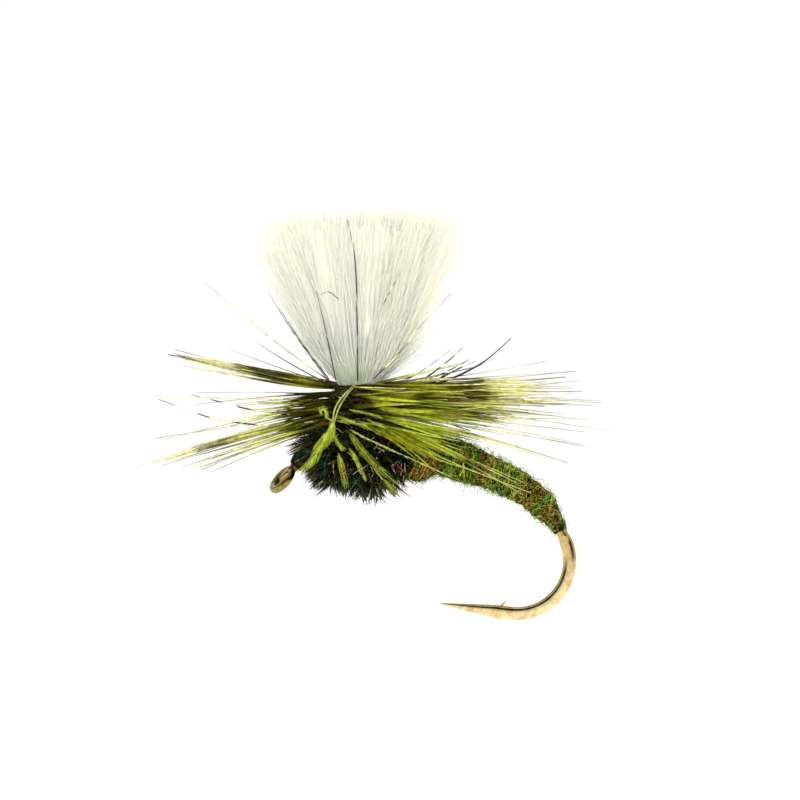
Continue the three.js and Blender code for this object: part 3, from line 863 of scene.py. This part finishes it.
def wing_fibres(count, side, rng):
    """Half of the yarn: fibres that rise from the waist, fan out and end at a rough square cut."""
    t = steps(10)
    around = np.arccos(rng.uniform(-1, 1, (count, 1)))
    out = np.sqrt(rng.random((count, 1))) ** 0.85
    u0 = out * np.cos(around)
    v0 = side * out * np.abs(np.sin(around))
    top = POST_TOP + 0.12 - 0.12 * u0**2 + rng.normal(0, 0.14, (count, 1))
    top -= np.where(rng.random((count, 1)) < 0.12, rng.uniform(0.2, 2.5, (count, 1)), 0)
    z = mix(YARN_START - 0.05, top, t)
    stray = rng.normal(0, 0.12, (2, count, 1)) * t**1.5
    for turns, sway in ((1.2, 0.05), (2.7, 0.022)):
        stray = stray + sway * t * np.sin(TURN * turns * t + rng.uniform(0, TURN, (2, count, 1)))
    bound = mix(0.84, 1, ramp(z, POST_WAIST_TOP - 0.1, POST_WAIST_TOP + 0.6))
    u = (u0 + stray[0]) * bound
    v = (v0 + stray[1]) * bound
    tint = wing_tint(u, z) * rng.uniform(0.96, 1.04, (count, 1, 1))
    thickness = rng.uniform(0.011, 0.02, (count, 1)) * mix(1, 0.7, t)
    return tubes(in_fan(u, v, z), thickness, 3, up=(0.1, 1, 0)), tint


def wing_fuzz(count, rng):
    """Thin crimped fibres that stand off the fan's edges and its cut end."""
    t = steps(9)
    around = rng.uniform(0, TURN, (count, 1))
    start = rng.uniform(4.7, POST_TOP - 0.8, (count, 1))
    lean = 0.3 * np.maximum(np.cos(around), 0) * ramp(-start, -8, -4.8)
    length = np.minimum(rng.uniform(0.8, 3.0, (count, 1)), POST_TOP + 0.2 - start)
    z = start + length * t
    off = rng.uniform(0.8, 1.0, (count, 1)) + rng.uniform(0.02, 0.34, (count, 1)) * t**1.5 + lean * t
    crimp = 0.035 * np.sin(TURN * (rng.uniform(1, 3, (count, 1)) * t + rng.random((count, 1))))
    path = in_fan((off + crimp) * np.cos(around), (off + crimp) * np.sin(around), z)
    return tubes(path, mix(0.011, 0.006, t), 3, up=(0.1, 1, 0)), WING_WHITE


def wing_butt(count, rng):
    """The yarn's cut ends, lashed along the shank."""
    t = steps(12)
    s = mix(BUTT[0], BUTT[1] - rng.uniform(0, 1.5, (count, 1)), t)
    angle = rng.uniform(0, TURN, (count, 1)) + 0.3 * t
    radius = mix(THREAD_BASE_RADIUS + 0.04, butt_radius(s) - 0.03, rng.random((count, 1)))
    # The cut ends take the yarn's painted shade colour.
    return tubes(round_wire(s, angle, radius), 0.035, 3, up=(0.2, 0.9, 0.1)), WING_SHADE


wing_rng = np.random.default_rng(31)
core = [wing_core(np.random.default_rng(30)), wing_butt(BUTT_FIBRES, wing_rng)]
add_piece("wing_core", "wing_post", "white_yarn", core)
for place, side in (("near", -1), ("far", 1)):
    half = wing_fibres(HALF_WING_FIBRES, side, wing_rng)
    add_piece(f"wing_{place}", "wing_post", "white_yarn", [half])
add_piece("wing_fuzz", "wing_post", "white_yarn", [wing_fuzz(WING_FUZZ, wing_rng)])


# ---- Hackle ----

# Each look is a light and a dark colour, how much of the barb is dark, and a thickness share.
LOOKS = {
    "lime": (colour(176, 188, 50), colour(76, 76, 12), 0.34, 1.1),
    "olive": (colour(156, 158, 30), colour(56, 38, 6), 0.42, 1.2),
    "yellow": (colour(232, 230, 140), colour(150, 144, 60), 0.24, 0.9),
    "dark": (colour(132, 124, 24), colour(20, 9, 2), 0.6, 1.35),
    "brown": (colour(140, 120, 40), colour(26, 13, 4), 0.8, 1.35),
    "grey": (colour(120, 116, 84), colour(56, 50, 40), 0.6, 0.5),
    "pale": (colour(222, 222, 190), colour(170, 168, 130), 0.4, 0.4),
}

# Clumps of barbs: turn, azimuth, rise, reach from the post, barbs, scatter of their tips, look.
# Azimuth 0 points to the bend, 180 to the eye and -90 to the near side.
CLUMPS = [
    # Upper band towards the bend
    (6, -12, -1.5, 6.4, 14, 0.2, "dark"),
    (6, -12, 1.2, 6.4, 9, 0.1, "brown"),
    (6, -3, -1.5, 7.0, 10, 0.14, "dark"),
    (5, -13, -0.5, 6.8, 10, 0.12, "brown"),
    (5, -13, -1.5, 7.0, 6, 0.2, "dark"),
    (6, 5, -1, 7.2, 8, 0.25, "dark"),
    (6, -16, -2, 5.4, 10, 0.3, "olive"),
    (6, 0, 2.5, 10.9, 3, 0.3, "grey"),
    (6, -6, -0.5, 9.4, 13, 0.45, "yellow"),
    (6, 10, 0, 11.2, 3, 0.3, "grey"),
    (5, -12, -2, 6.9, 16, 0.3, "olive"),
    (5, 2, -1, 7.4, 14, 0.3, "lime"),
    (5, 14, -1, 7.6, 7, 0.35, "dark"),
    (5, 3, -1, 7.0, 6, 0.12, "dark"),
    (5, -4, -1.5, 11.6, 3, 0.25, "grey"),
    (5, 6, 0.5, 10.0, 12, 0.55, "yellow"),
    (4, -14, -3, 6.6, 16, 0.3, "lime"),
    (4, 0, -2.5, 7.4, 16, 0.35, "olive"),
    (4, 16, -2, 7.6, 8, 0.35, "olive"),
    (4, 4, -2, 10.2, 10, 0.6, "yellow"),
    (3, -8, -5, 6.4, 14, 0.35, "lime"),
    (3, 10, -4, 6.2, 10, 0.4, "dark"),
    (3, -12, -8.5, 5.0, 9, 0.3, "lime"),
    (3, 2, -4, 9.8, 6, 0.6, "yellow"),
    (3, -2, -5, 11.2, 2, 0.3, "pale"),
    # Hairs above the band
    (6, -5, 9, 6.4, 2, 0.2, "grey"),
    (6, 8, 11, 6.0, 1, 0.3, "yellow"),
    (6, 2, 5, 9.0, 2, 0.3, "grey"),
    # Lower fan over the body
    (2, -20, -13, 5.2, 14, 0.35, "lime"),
    (2, -10, -10, 5.6, 8, 0.3, "lime"),
    (2, 8, -8, 8.0, 3, 0.5, "yellow"),
    (2, -2, -8, 11.4, 3, 0.2, "pale"),
    (2, -8, -13, 10.2, 3, 0.2, "yellow"),
    (1, -30, -22, 4.2, 14, 0.35, "olive"),
    (1, -16, -18, 5.0, 10, 0.4, "lime"),
    (1, -12, -21, 8.7, 1, 0.02, "lime"),
    (1, -18, -23, 9.3, 1, 0.02, "lime"),
    (1, -26, -32, 5.4, 1, 0.02, "lime"),
    # Upper bunch towards the eye, and the hairs above it
    (6, 184, 10, 9.2, 8, 0.2, "dark"),
    (6, 181, 10.5, 6.3, 5, 0.12, "brown"),
    (6, 178, 9, 6.8, 4, 0.2, "olive"),
    (6, 177, 8, 8.6, 6, 0.2, "yellow"),
    (6, 182, 9, 5.2, 7, 0.2, "dark"),
    (6, 190, 33.5, 9.3, 1, 0.1, "yellow"),
    (6, 168, 49, 8.4, 1, 0.1, "pale"),
    (6, 176, 22, 6.0, 2, 0.3, "grey"),
    # Lower bunches towards the eye, thick near the post
    (5, 186, -5, 3.4, 12, 0.3, "dark"),
    (5, 180, -1, 7.6, 2, 0.4, "grey"),
    (4, 184, -4, 3.8, 12, 0.3, "olive"),
    (4, 183, 0.5, 10.2, 1, 0.1, "yellow"),
    (4, 192, -3, 6.0, 4, 0.3, "olive"),
    (3, 186, -8, 4.2, 12, 0.35, "dark"),
    (3, 190, -6, 6.6, 5, 0.3, "olive"),
    (3, 177, -9, 10.2, 2, 0.2, "yellow"),
    (2, 188, -12, 4.4, 12, 0.35, "lime"),
    (2, 186, -13, 8.6, 5, 0.3, "dark"),
    (2, 183, -13.5, 10.0, 8, 0.35, "lime"),
    (2, 182, -14, 8.8, 5, 0.35, "yellow"),
    (1, 188, -12, 3.6, 10, 0.3, "dark"),
    (1, 178, -16.5, 8.4, 6, 0.3, "lime"),
    (1, 190, -15, 5.6, 6, 0.3, "olive"),
]

# Barbs between the clumps. Each turn from the lowest: barbs, rise towards the bend and towards the eye
LOOSE_TURNS = [(18, -18, -16), (18, -11, -13), (28, -5, -8), (28, -3, -3), (26, -2, 3), (24, -2, 8)]
# Share of them, middle azimuth and spread of each direction
LOOSE_DIRECTIONS = [(0.5, -2, 20), (0.07, 184, 18), (0.34, 80, 32), (0.06, -60, 14)]
LOOSE_LOOKS = ["lime", "olive", "dark", "yellow", "olive", "dark", "lime"]
LOW_LOOSE_LOOKS = ["lime", "yellow", "lime", "pale"]
LOOSE_REACH = (7.8, 6.6, 6.4)  # towards the bend, the eye and the sides
LOW_REACH_SHARE = 0.75  # of the two lowest turns

# Distance from the post to the first dark bar across the barbs of each turn, from the lowest
FIRST_BARS_TO_BEND = [0.2, 0.3, 1.0, 3.2, 0.1, -0.1]
FIRST_BARS_TO_EYE = [2.0, 2.0, 2.0, 2.0, 2.0, 4.0]
BAR_SPACING = 4.8
# Distance from the post over which the barbs are painted dark at the root: painted shade near the post
SHADED_ROOT_TO_BEND = [1.3, 1.3, 1.3, 1.3, 2.4, 2.4]
SHADED_ROOT_TO_EYE = 2.2

ROOT_LAG = 32  # degrees round the winding by which a barb's root trails behind its direction
BARB_STEPS = 14
BARBULES = 26
TANGLE_BARBS = 110


def turn_height(turn):
    return mix(LOWEST_TURN_Z, HIGHEST_TURN_Z, (turn - 1) / (TURN_COUNT - 1))


def loose_barbs(turn, rng):
    """Azimuth, rise and reach of the barbs between the clumps."""
    count, rear, front = LOOSE_TURNS[turn - 1]
    shares, middles, spreads = np.array(LOOSE_DIRECTIONS).T
    row = rng.choice(len(shares), count, p=shares / shares.sum())
    azimuth = middles[row] + rng.normal(0, 1, count) * spreads[row]
    fore = np.cos(np.radians(azimuth))
    rise = np.where(fore > 0, rear, front) * fore**2 + rng.normal(0, 2.4, count)
    reach = mix(LOOSE_REACH[2], np.where(fore > 0, LOOSE_REACH[0], LOOSE_REACH[1]), fore**2)
    low_share = 1 if turn > 2 else LOW_REACH_SHARE
    return azimuth, rise, reach * rng.uniform(0.78, 1.05, count) * low_share


def gathered_barbs(turn, rng):
    """Roots, tips, root angles and looks of one turn's barbs, clumped and loose."""
    hub = np.array([POST_X, 0, turn_height(turn) - 0.08])
    roots, tips, looks = [], [], []
    for _, azimuth, rise, reach, count, scatter, look in (row for row in CLUMPS if row[0] == turn):
        tip = hub + reach * toward(math.radians(azimuth), math.radians(rise))
        tips.append(tip + rng.normal(0, scatter, (count, 3)) * [1.6, 1, 0.6])
        root_spread = math.radians(min(18, 60 * scatter))
        roots.append(math.radians(azimuth - ROOT_LAG) + rng.normal(0, root_spread, count))
        looks += [look] * count
    azimuth, rise, reach = loose_barbs(turn, rng)
    tips.append(hub + reach[:, None] * toward(np.radians(azimuth), np.radians(rise)))
    roots.append(np.radians(azimuth - ROOT_LAG) + rng.normal(0, math.radians(16), len(azimuth)))
    looks += list(rng.choice(LOOSE_LOOKS if turn > 2 else LOW_LOOSE_LOOKS, len(azimuth)))
    angle = np.concatenate(roots)
    root = hub + (QUILL_PATH_RADIUS + 0.04) * toward(angle, np.zeros_like(angle))
    root[:, 2] += rng.normal(0, 0.06, len(angle))
    return root, np.vstack(tips), angle, looks


KHAKI = colour(222, 216, 142)
TIP_GREY = colour(66, 62, 50)
# Painted shade colour of the barbs' roots near the post
ROOT_SHADE = colour(44, 32, 8)


def look_values(looks, part):
    return np.array([LOOKS[look][part] for look in looks])


def barb_tints(looks, first_bar, shaded_root, reach, to_eye, t, rng):
    """Light barbs crossed by dark bars, painted dark at the root as shade near the post, paler outwards and
    grey at the tip. Those to the eye pale sooner."""
    count = len(looks)
    light, dark, share = (look_values(looks, part)[:, None] for part in range(3))
    distance = t * reach
    bars = np.cos(TURN * (distance - first_bar + rng.normal(0, 0.45, (count, 1))) / BAR_SPACING)
    darkness = ramp(bars, 1 - 2.4 * share, 1.5 - 2.0 * share) * 0.9
    # Painted shade: the barbs darken towards the post.
    root = ramp(-distance, -shaded_root, 0)
    darkness = np.maximum(darkness, 0.9 * root * rng.uniform(0.7, 1, (count, 1)))
    tint = mix(mix(light, dark, darkness[..., None]), ROOT_SHADE, 0.75 * root[..., None])
    paler = ramp(distance + np.where(to_eye, 1.8, 0), 3.5, 8) * (0.8 - 0.75 * darkness)
    tint = mix(tint, KHAKI, paler[..., None])
    grey = ramp(distance, 6.6, 9.2) * rng.uniform(0, 0.85, (count, 1))
    return mix(tint, TIP_GREY, grey[..., None]) * rng.uniform(0.6, 1.15, (count, 1, 1))


def barbules(paths, tints, width, reach, rng):
    """Fine hairs along both edges of each barb, which give it its soft width."""
    count = len(paths)
    at = rng.uniform(0.03, 0.74, (count, BARBULES))
    step = at * (paths.shape[1] - 1)
    index = step.astype(int)
    rows = np.arange(count)[:, None]
    here, after = paths[rows, index], paths[rows, index + 1]
    start = mix(here, after, (step - index)[..., None])
    forward = unit(after - here)
    side = unit(np.cross(forward, unit(rng.normal(0, 1, (count, 1, 3)) * [0.25, 0.25, 0.1] + [0, 0, 1])))
    side = side * np.where(rng.random((count, BARBULES, 1)) < 0.5, -1, 1)
    side = side + rng.normal(0, 0.25, (count, BARBULES, 3))
    length = (reach[:, None] * (1 - 0.75 * at) * rng.uniform(0.7, 1.2, (count, BARBULES)))[..., None]
    middle = start + length * (0.5 * forward + 0.2 * side)
    end = start + length * (1.1 * forward + 0.27 * side)
    path = bend(start.reshape(-1, 3), middle.reshape(-1, 3), end.reshape(-1, 3), 3)
    thickness = np.array([1, 0.8, 0.3]) * np.repeat(width, BARBULES)[:, None]
    tint = tints[rows, index].reshape(-1, 1, 3) * rng.uniform(0.8, 1.25, (count * BARBULES, 1, 1))
    return tubes(path, thickness, 3, up=(0.13, 0.17, 1)), tint


def hackle_turn(turn, rng):
    """Barbs of one turn: a flat web with a shaft along it, the shaft's tint raised as a painted highlight,
    and loose barbules at its edges.
    """
    root, tip, angle, looks = gathered_barbs(turn, rng)
    count = len(looks)
    reach = np.linalg.norm(tip - root, axis=-1)[:, None]
    leaving = toward(angle, np.zeros(count))
    handle = root + 0.42 * reach * unit(leaving * 0.35 + unit(tip - root))
    handle[:, 2] += rng.normal(0, 0.022, count) * reach[:, 0]
    paths = bend(root, handle, tip, BARB_STEPS)
    t = steps(BARB_STEPS)
    to_eye = tip[:, :1] < POST_X
    first_bar = np.where(to_eye, FIRST_BARS_TO_EYE[turn - 1], FIRST_BARS_TO_BEND[turn - 1])
    shaded_root = np.where(to_eye, SHADED_ROOT_TO_EYE, SHADED_ROOT_TO_BEND[turn - 1])
    tints = barb_tints(looks, first_bar, shaded_root, reach, to_eye, t, rng)
    share = look_values(looks, 3)
    facing = unit(rng.normal(0, 1, (count, 1, 3)) * [0.4, 1, 1])
    width = mix(1, 0.75, to_eye) * share[:, None] * rng.uniform(0.06, 0.115, (count, 1))
    width = width * (1 - t**1.6) * ramp(t, -0.25, 0.2) + 0.008
    webs = tubes(paths, width, 6, up=facing, flat=0.2)
    shafts = tubes(paths, mix(0.036, 0.013, t) * share[:, None] ** 0.5, 4, up=facing)
    hairs = barbules(paths, tints, 0.01 * share**0.5, 0.3 * share, rng)
    # The shafts' tints are raised by a quarter: a painted highlight along each barb.
    return [(webs, tints), (shafts, tints * 1.25), hairs, root_tangle(turn, TANGLE_BARBS, rng)]


def root_tangle(turn, count, rng):
    """Short dark barbs from the feather's webby side, bent every way round the foot of the turn, made mostly
    near black as painted shade there.
    """
    angle = rng.uniform(0, TURN, count)
    root = [POST_X, 0, turn_height(turn)] + QUILL_PATH_RADIUS * toward(angle, np.zeros(count))
    root[:, 2] += rng.normal(-0.05, 0.16, count)
    azimuth = angle + rng.normal(0, 0.9, count)
    direction = toward(azimuth, rng.normal(-0.05, 0.3, count))
    fore = np.maximum(np.cos(azimuth), 0)[:, None]
    tip = root + direction * rng.uniform(0.2, 1, (count, 1)) * (0.9 + 0.9 * fore)
    path = bend(root, (root + tip) / 2 + rng.normal(0, 0.12, (count, 3)), tip, 6)
    path[..., 2] = np.minimum(path[..., 2], HIGHEST_TURN_Z - 0.06)
    t = steps(6)
    thickness = rng.uniform(0.025, 0.07, (count, 1)) * (1 - 0.9 * t**2)
    # Mostly near black: painted shade at the foot of the turn, over dark webby barbs.
    tint = mix(THREAD_BLACK, colour(104, 92, 26), rng.beta(0.5, 1.6, (count, 1, 1)))
    return flat_barbs(path, thickness, rng), tint


for turn in range(1, TURN_COUNT + 1):
    groups = hackle_turn(turn, np.random.default_rng(40 + turn))
    add_piece(f"hackle_turn_{turn}", f"hackle_barbs_turn_{turn}", "olive_hackle", groups)


def hackle_stem():
    t = steps(400)
    angle = -TURN * (TURN_COUNT - 0.7) * t
    reach = QUILL_PATH_RADIUS + 0.02 * np.sin(angle * 0.7)
    z = mix(HIGHEST_TURN_Z, LOWEST_TURN_Z, t)
    path = np.stack([POST_X + reach * np.cos(angle), reach * np.sin(angle), z], -1)[None]
    radius = QUILL_RADIUS * mix(1.05, 0.75, t)
    tint = mix(colour(26, 17, 8), colour(74, 66, 26), (0.5 + 0.5 * np.sin(angle * 1.3)[:, None]) ** 2)
    return tubes(path, radius[None], 10, up=out_of_post(path), flat=0.85), tint


add_piece("hackle_stem", "hackle_quill", "olive_quill", [hackle_stem()])


# The feather's tip: it crosses the winding's near side and lies down over the thorax
FEATHER_TIP_ROUTE = [
    (3.6, -1.45, 4.75),
    (2.95, -1.6, 4.1),
    (2.6, -1.75, 3.5),
    (2.45, -1.95, 2.7),
    (2.1, -2.15, 2.05),
    (1.6, -2.0, 1.15),
    (0.95, -1.6, 0.45),
]


def vane(path, width, first_share, count, tint, rng):
    """Fine barbs along both sides of a path, from a share of its length to its tip, which lean forward."""
    at = rng.uniform(first_share, 0.99, count) * (len(path) - 2)
    index = at.astype(int)
    root = mix(path[index], path[index + 1], (at - index)[:, None])
    forward = unit(path[index + 1] - path[index])
    side = unit(np.cross(forward, [0.25, -1, 0.2])) * np.where(np.arange(count) % 2 == 0, 1, -1)[:, None]
    share = (at / len(path) - first_share) / (1 - first_share)
    length = width * (np.sin(math.pi * mix(0.3, 0.95, share)) + 0.2)
    length = (length * rng.uniform(0.8, 1.15, count))[:, None]
    handle = root + length * (0.6 * forward + 0.3 * side)
    end = root + length * (1.35 * forward + 0.32 * side) + rng.normal(0, 0.012, (count, 3))
    thickness = 0.026 * mix(1, 0.3, steps(6))
    tints = tint * rng.uniform(0.35, 1.3, (count, 1, 1))
    return tubes(bend(root, handle, end, 6), thickness, 3, up=(0, 1, 0)), tints


def feather_tip(rng):
    path = smooth_path(FEATHER_TIP_ROUTE, 12)
    t = steps(len(path))
    stem_tint = mix(colour(150, 148, 84), colour(190, 198, 96), t[:, None])
    stem = shaft(path, mix(0.05, 0.02, t), 8)
    pair = 40  # points of the path along which a second stem lies beside the first
    beside = path[:pair] + np.array([0.2, 0.05, 0.02]) * np.sin(np.linspace(0.2, math.pi, pair))[:, None]
    second = shaft(beside, mix(0.045, 0.03, t[:pair]), 8)
    barbs = vane(path, 0.55, 0.42, 260, colour(156, 174, 44), rng)
    return [(stem, stem_tint), (second, stem_tint[:pair]), barbs]


add_piece("feather_tip", "hackle_tip", "olive_hackle", feather_tip(np.random.default_rng(51)))


WEB_GREEN = colour(156, 168, 48)
WEB_OLIVE = colour(128, 138, 34)
WEB_PALE = colour(184, 194, 100)

# Webby barbs from the feather's base, which lie over the thorax and the body: x and z from the root to
# the tip, width, colour, and how far out from the hook's plane they stay at least
WEB_BARBS = [
    ([(1.96, 3.2), (1.9, 3.38), (2.02, 3.5), (2.15, 3.36), (2.2, 3.15), (2.5, 2.9)], 0.16, WEB_GREEN, 1.9),
    ([(2.5, 3.2), (3.6, 2.85), (5.0, 2.2), (6.6, 1.3)], 0.24, WEB_OLIVE, 1.4),
    ([(2.7, 2.95), (4.0, 2.75), (5.6, 2.1), (7.2, 1.6)], 0.28, WEB_GREEN, 1.4),
    ([(3.3, 3.5), (4.6, 3.2), (6.4, 2.6)], 0.2, WEB_GREEN, 1.4),
    ([(4.2, 3.0), (5.4, 2.5), (7.0, 2.2)], 0.24, WEB_GREEN, 1.4),
    ([(2.47, 2.46), (2.75, 1.85), (3.05, 1.55)], 0.24, WEB_GREEN, 0.9),
    ([(2.78, 1.35), (3.0, 0.4), (3.2, -0.4)], 0.42, WEB_GREEN, 0.9),
    ([(3.3, 1.6), (3.6, 1.1), (3.87, 0.55), (4.15, 0.0)], 0.28, WEB_GREEN, 0.9),
    ([(3.3, 2.4), (3.87, 1.6), (4.72, 0.7), (5.8, -0.3)], 0.46, WEB_OLIVE, 0.9),
    ([(4.3, 1.0), (4.7, 0.4), (5.07, -0.07)], 0.1, WEB_PALE, 0.9),
    ([(5.0, 0.05), (5.35, -0.35), (5.65, -0.75)], 0.42, WEB_OLIVE, 0.9),
    ([(3.35, 2.5), (4.2, 2.05), (6.5, 1.0), (8.4, 0.14)], 0.14, WEB_PALE, 1.25),
    ([(4.4, 2.9), (6.3, 2.0), (9.1, 1.1), (12.0, -0.13)], 0.12, WEB_PALE, 1.15),
    ([(4.6, 2.6), (6.3, 1.85), (8.9, 0.68), (12.4, -0.67)], 0.12, WEB_PALE, 1.15),
    ([(5.2, 2.3), (7.0, 1.3), (9.3, 0.5)], 0.16, WEB_GREEN, 1.15),
]


def herl_reach(x, z):
    """How far the herl stands out from the hook's plane at places in that plane."""
    reach = np.zeros_like(x)
    for span in HERL_SPANS.values():
        s = np.linspace(span["start"], span["end"], 12)
        radius, sag = herl_shape(span, s)
        wire_x, wire_z, heading = wire_at(s)
        from_x = x[:, None] - wire_x - np.sin(heading) * sag
        from_z = z[:, None] - wire_z + np.cos(heading) * sag
        inside = np.maximum(radius**2 - from_x**2 - from_z**2, 0)
        reach = np.maximum(reach, np.sqrt(inside).max(axis=1))
    return reach


def web_barbs(rng):
    """Each is a pale shaft with a vane of finer barbs along it."""
    groups = []
    for route, width, tint, least_out in WEB_BARBS:
        path = level_path(route, 10)
        path[:, 1] = -np.maximum(herl_reach(path[:, 0], path[:, 2]), least_out) - 0.08
        t = steps(len(path))
        shaft_tint = mix(tint * 0.5, mix(tint, WEB_PALE, 0.6), ramp(t, 0, 0.3)[:, None])
        groups.append((shaft(path, mix(0.035, 0.015, t)), shaft_tint))
        groups.append(vane(path, width, 0, 34 * (len(route) - 1), tint, rng))
    return groups


add_piece("web_barbs", "hackle_barbs_turn_1", "olive_hackle", web_barbs(np.random.default_rng(61)))


# Barbs that stand alone over or beside the hackle, some in front of the wing: x and z from the tip to the
# root, thickness share, and how much of the length shows dark
LONE_BARBS = [
    ([(3.25, 12.9), (3.62, 10.9), (3.72, 8.0), (3.75, 4.95)], 1.0, 1.0),
    ([(1.7, 9.4), (2.2, 7.2), (2.65, 4.95)], 0.8, 1.0),
    ([(8.4, 9.3), (7.0, 7.8), (5.8, 6.3), (4.3, 4.8)], 0.9, 0.5),
    ([(5.85, 10.3), (5.0, 8.7)], 0.7, 0.6),
    ([(1.9, 9.2), (2.3, 9.35), (2.8, 9.0)], 0.6, 1.0),
    ([(-0.75, 9.4), (0.35, 7.6), (2.2, 5.0)], 0.7, 0.9),
    ([(-0.2, 8.6), (0.9, 6.9), (2.3, 5.0)], 1.1, 1.0),
    ([(11.4, 7.05), (10.2, 6.0), (9.2, 5.4), (8.3, 5.0), (6.8, 4.5)], 1.7, 1.0),
    ([(7.4, 5.3), (7.0, 4.95), (6.5, 4.55)], 2.0, 1.0),
    ([(9.0, 6.6), (8.4, 6.05), (7.4, 5.25), (6.9, 4.8)], 1.1, 0.75),
    ([(8.95, 5.65), (8.4, 5.35), (7.8, 5.0), (7.2, 4.7)], 1.5, 0.9),
    ([(9.4, 2.43), (8.8, 2.62), (8.2, 2.85)], 1.1, 1.0),
    ([(-6.3, 4.05), (-4.5, 3.38), (-3.0, 2.95), (-0.5, 2.7), (1.5, 2.9)], 1.2, 0.35),
    ([(-4.6, 4.25), (-3.4, 3.95), (-1.6, 3.5), (0.6, 3.2)], 1.1, 0.4),
    ([(10.5, 2.42), (10.0, 2.52), (9.6, 2.65)], 0.9, 1.0),
    ([(9.3, 6.0), (8.1, 5.35), (7.0, 4.9)], 1.1, 0.7),
    ([(7.6, 5.5), (6.6, 5.2), (5.4, 4.75)], 0.9, 0.8),
    ([(8.4, 6.5), (7.2, 5.6), (5.9, 4.8)], 0.6, 0.7),
    ([(9.6, 5.9), (8.4, 5.35), (7.2, 4.85)], 0.8, 0.6),
    ([(10.6, 6.1), (9.4, 5.5), (8.0, 4.9)], 0.6, 0.4),
]
LONE_RADIUS = 0.034


def lone_barbs():
    """Each follows the wing's near side where the wing is behind it."""
    groups = []
    for route, thickness, dark_share in LONE_BARBS:
        path = level_path(route, 16)
        across = np.clip((path[:, 0] - POST_X) / post_half_width(path[:, 2]), -1, 1)
        path[:, 1] = -post_half_depth(path[:, 2]) * np.sqrt(1 - across**2) - 0.12
        t = steps(len(path))
        dashes = ramp(np.sin(23 * t), 1 - 2.4 * dark_share, 1.3 - 2.4 * dark_share)
        tint = mix(colour(236, 236, 190), colour(50, 54, 34), dashes[:, None])
        radius = thickness * LONE_RADIUS * mix(0.4, 1, ramp(t, 0, 0.6))
        groups.append((shaft(path, radius), tint))
    return groups


add_piece("lone_barbs", "hackle_barbs_turn_6", "olive_hackle", lone_barbs())


# ---- Floor, light and camera ----

def add_floor():
    """A plain pale floor, a little below the hook."""
    half = 1500 * MM
    height = cad_bounds[0][2] - 12 * MM
    corners = [(x * half, y * half, height) for x, y in ((-1, -1), (1, -1), (1, 1), (-1, 1))]
    mesh = bpy.data.meshes.new("floor")
    mesh.from_pydata(corners, [], [(0, 1, 2, 3)])
    settings = {"Base Color": (0.93, 0.93, 0.93, 1), "Roughness": 0.9, "Specular IOR Level": 0.0}
    mesh.materials.append(new_material("pale_floor", settings)[0])
    new_object("floor", mesh)


def add_world():
    """A light tent: white below and behind, a little grey above, with a dark gap round the camera's end."""
    world = bpy.data.worlds.new("tent")
    bpy.context.scene.world = world
    world.use_nodes = True
    tree = world.node_tree
    place = add_node(tree, "ShaderNodeTexCoord").outputs["Generated"]
    parts = add_node(tree, "ShaderNodeSeparateXYZ", (), {"Vector": place}).outputs
    limits = {"From Min": -0.15, "From Max": 0.05}
    height = add_node(tree, "ShaderNodeMapRange", limits, {"Value": parts["Z"]})
    height.interpolation_type = "SMOOTHSTEP"
    depth = add_node(tree, "ShaderNodeMapRange", {"From Min": -1}, {"Value": parts["Y"]}).outputs["Result"]
    brightness = ((0.03, 1), (0.07, 0.02), (0.23, 0.02), (0.3, 0.85), (0.88, 0.85), (0.96, 1))
    walls = colour_ramp(tree, depth, [(position, [level] * 3) for position, level in brightness])
    sources = {"Fac": height.outputs["Result"], "Color2": walls}
    lit = add_node(tree, "ShaderNodeMixRGB", {"Color1": (1, 1, 1, 1)}, sources).outputs["Color"]
    tree.links.new(lit, tree.nodes["Background"].inputs["Color"])
    tree.nodes["Background"].inputs["Strength"].default_value = 1.02


def add_sun(name, strength, spread, azimuth, elevation):
    """Soft light from the given direction, which the wire doesn't mirror."""
    light = bpy.data.lights.new(name, "SUN")
    light.energy = strength
    light.angle = math.radians(spread)
    sun = new_object(name, light)
    sun.rotation_euler = (math.radians(90 - elevation), 0, math.radians(azimuth))
    sun.visible_glossy = False


def add_camera():
    """Level with the fly, from its near side, far enough away to see it almost without perspective."""
    frame_width = 40 * MM
    distance = 400 * MM
    middle_x, middle_z = 5.85 * MM, 3.975 * MM
    camera = bpy.data.cameras.new("camera")
    camera.sensor_width = 36
    camera.lens = camera.sensor_width * distance / frame_width
    camera.clip_start = 0.01
    camera.clip_end = 20
    viewer = new_object("camera", camera)
    viewer.location = (middle_x, -distance, middle_z)
    viewer.rotation_euler = (math.radians(90), 0, 0)
    bpy.context.scene.camera = viewer


add_floor()
add_world()
add_sun("key", 2.7, 60, 6, 24)
add_sun("back", 2.0, 50, 170, 45)
add_camera()
bpy.context.scene.view_settings.view_transform = "Standard"
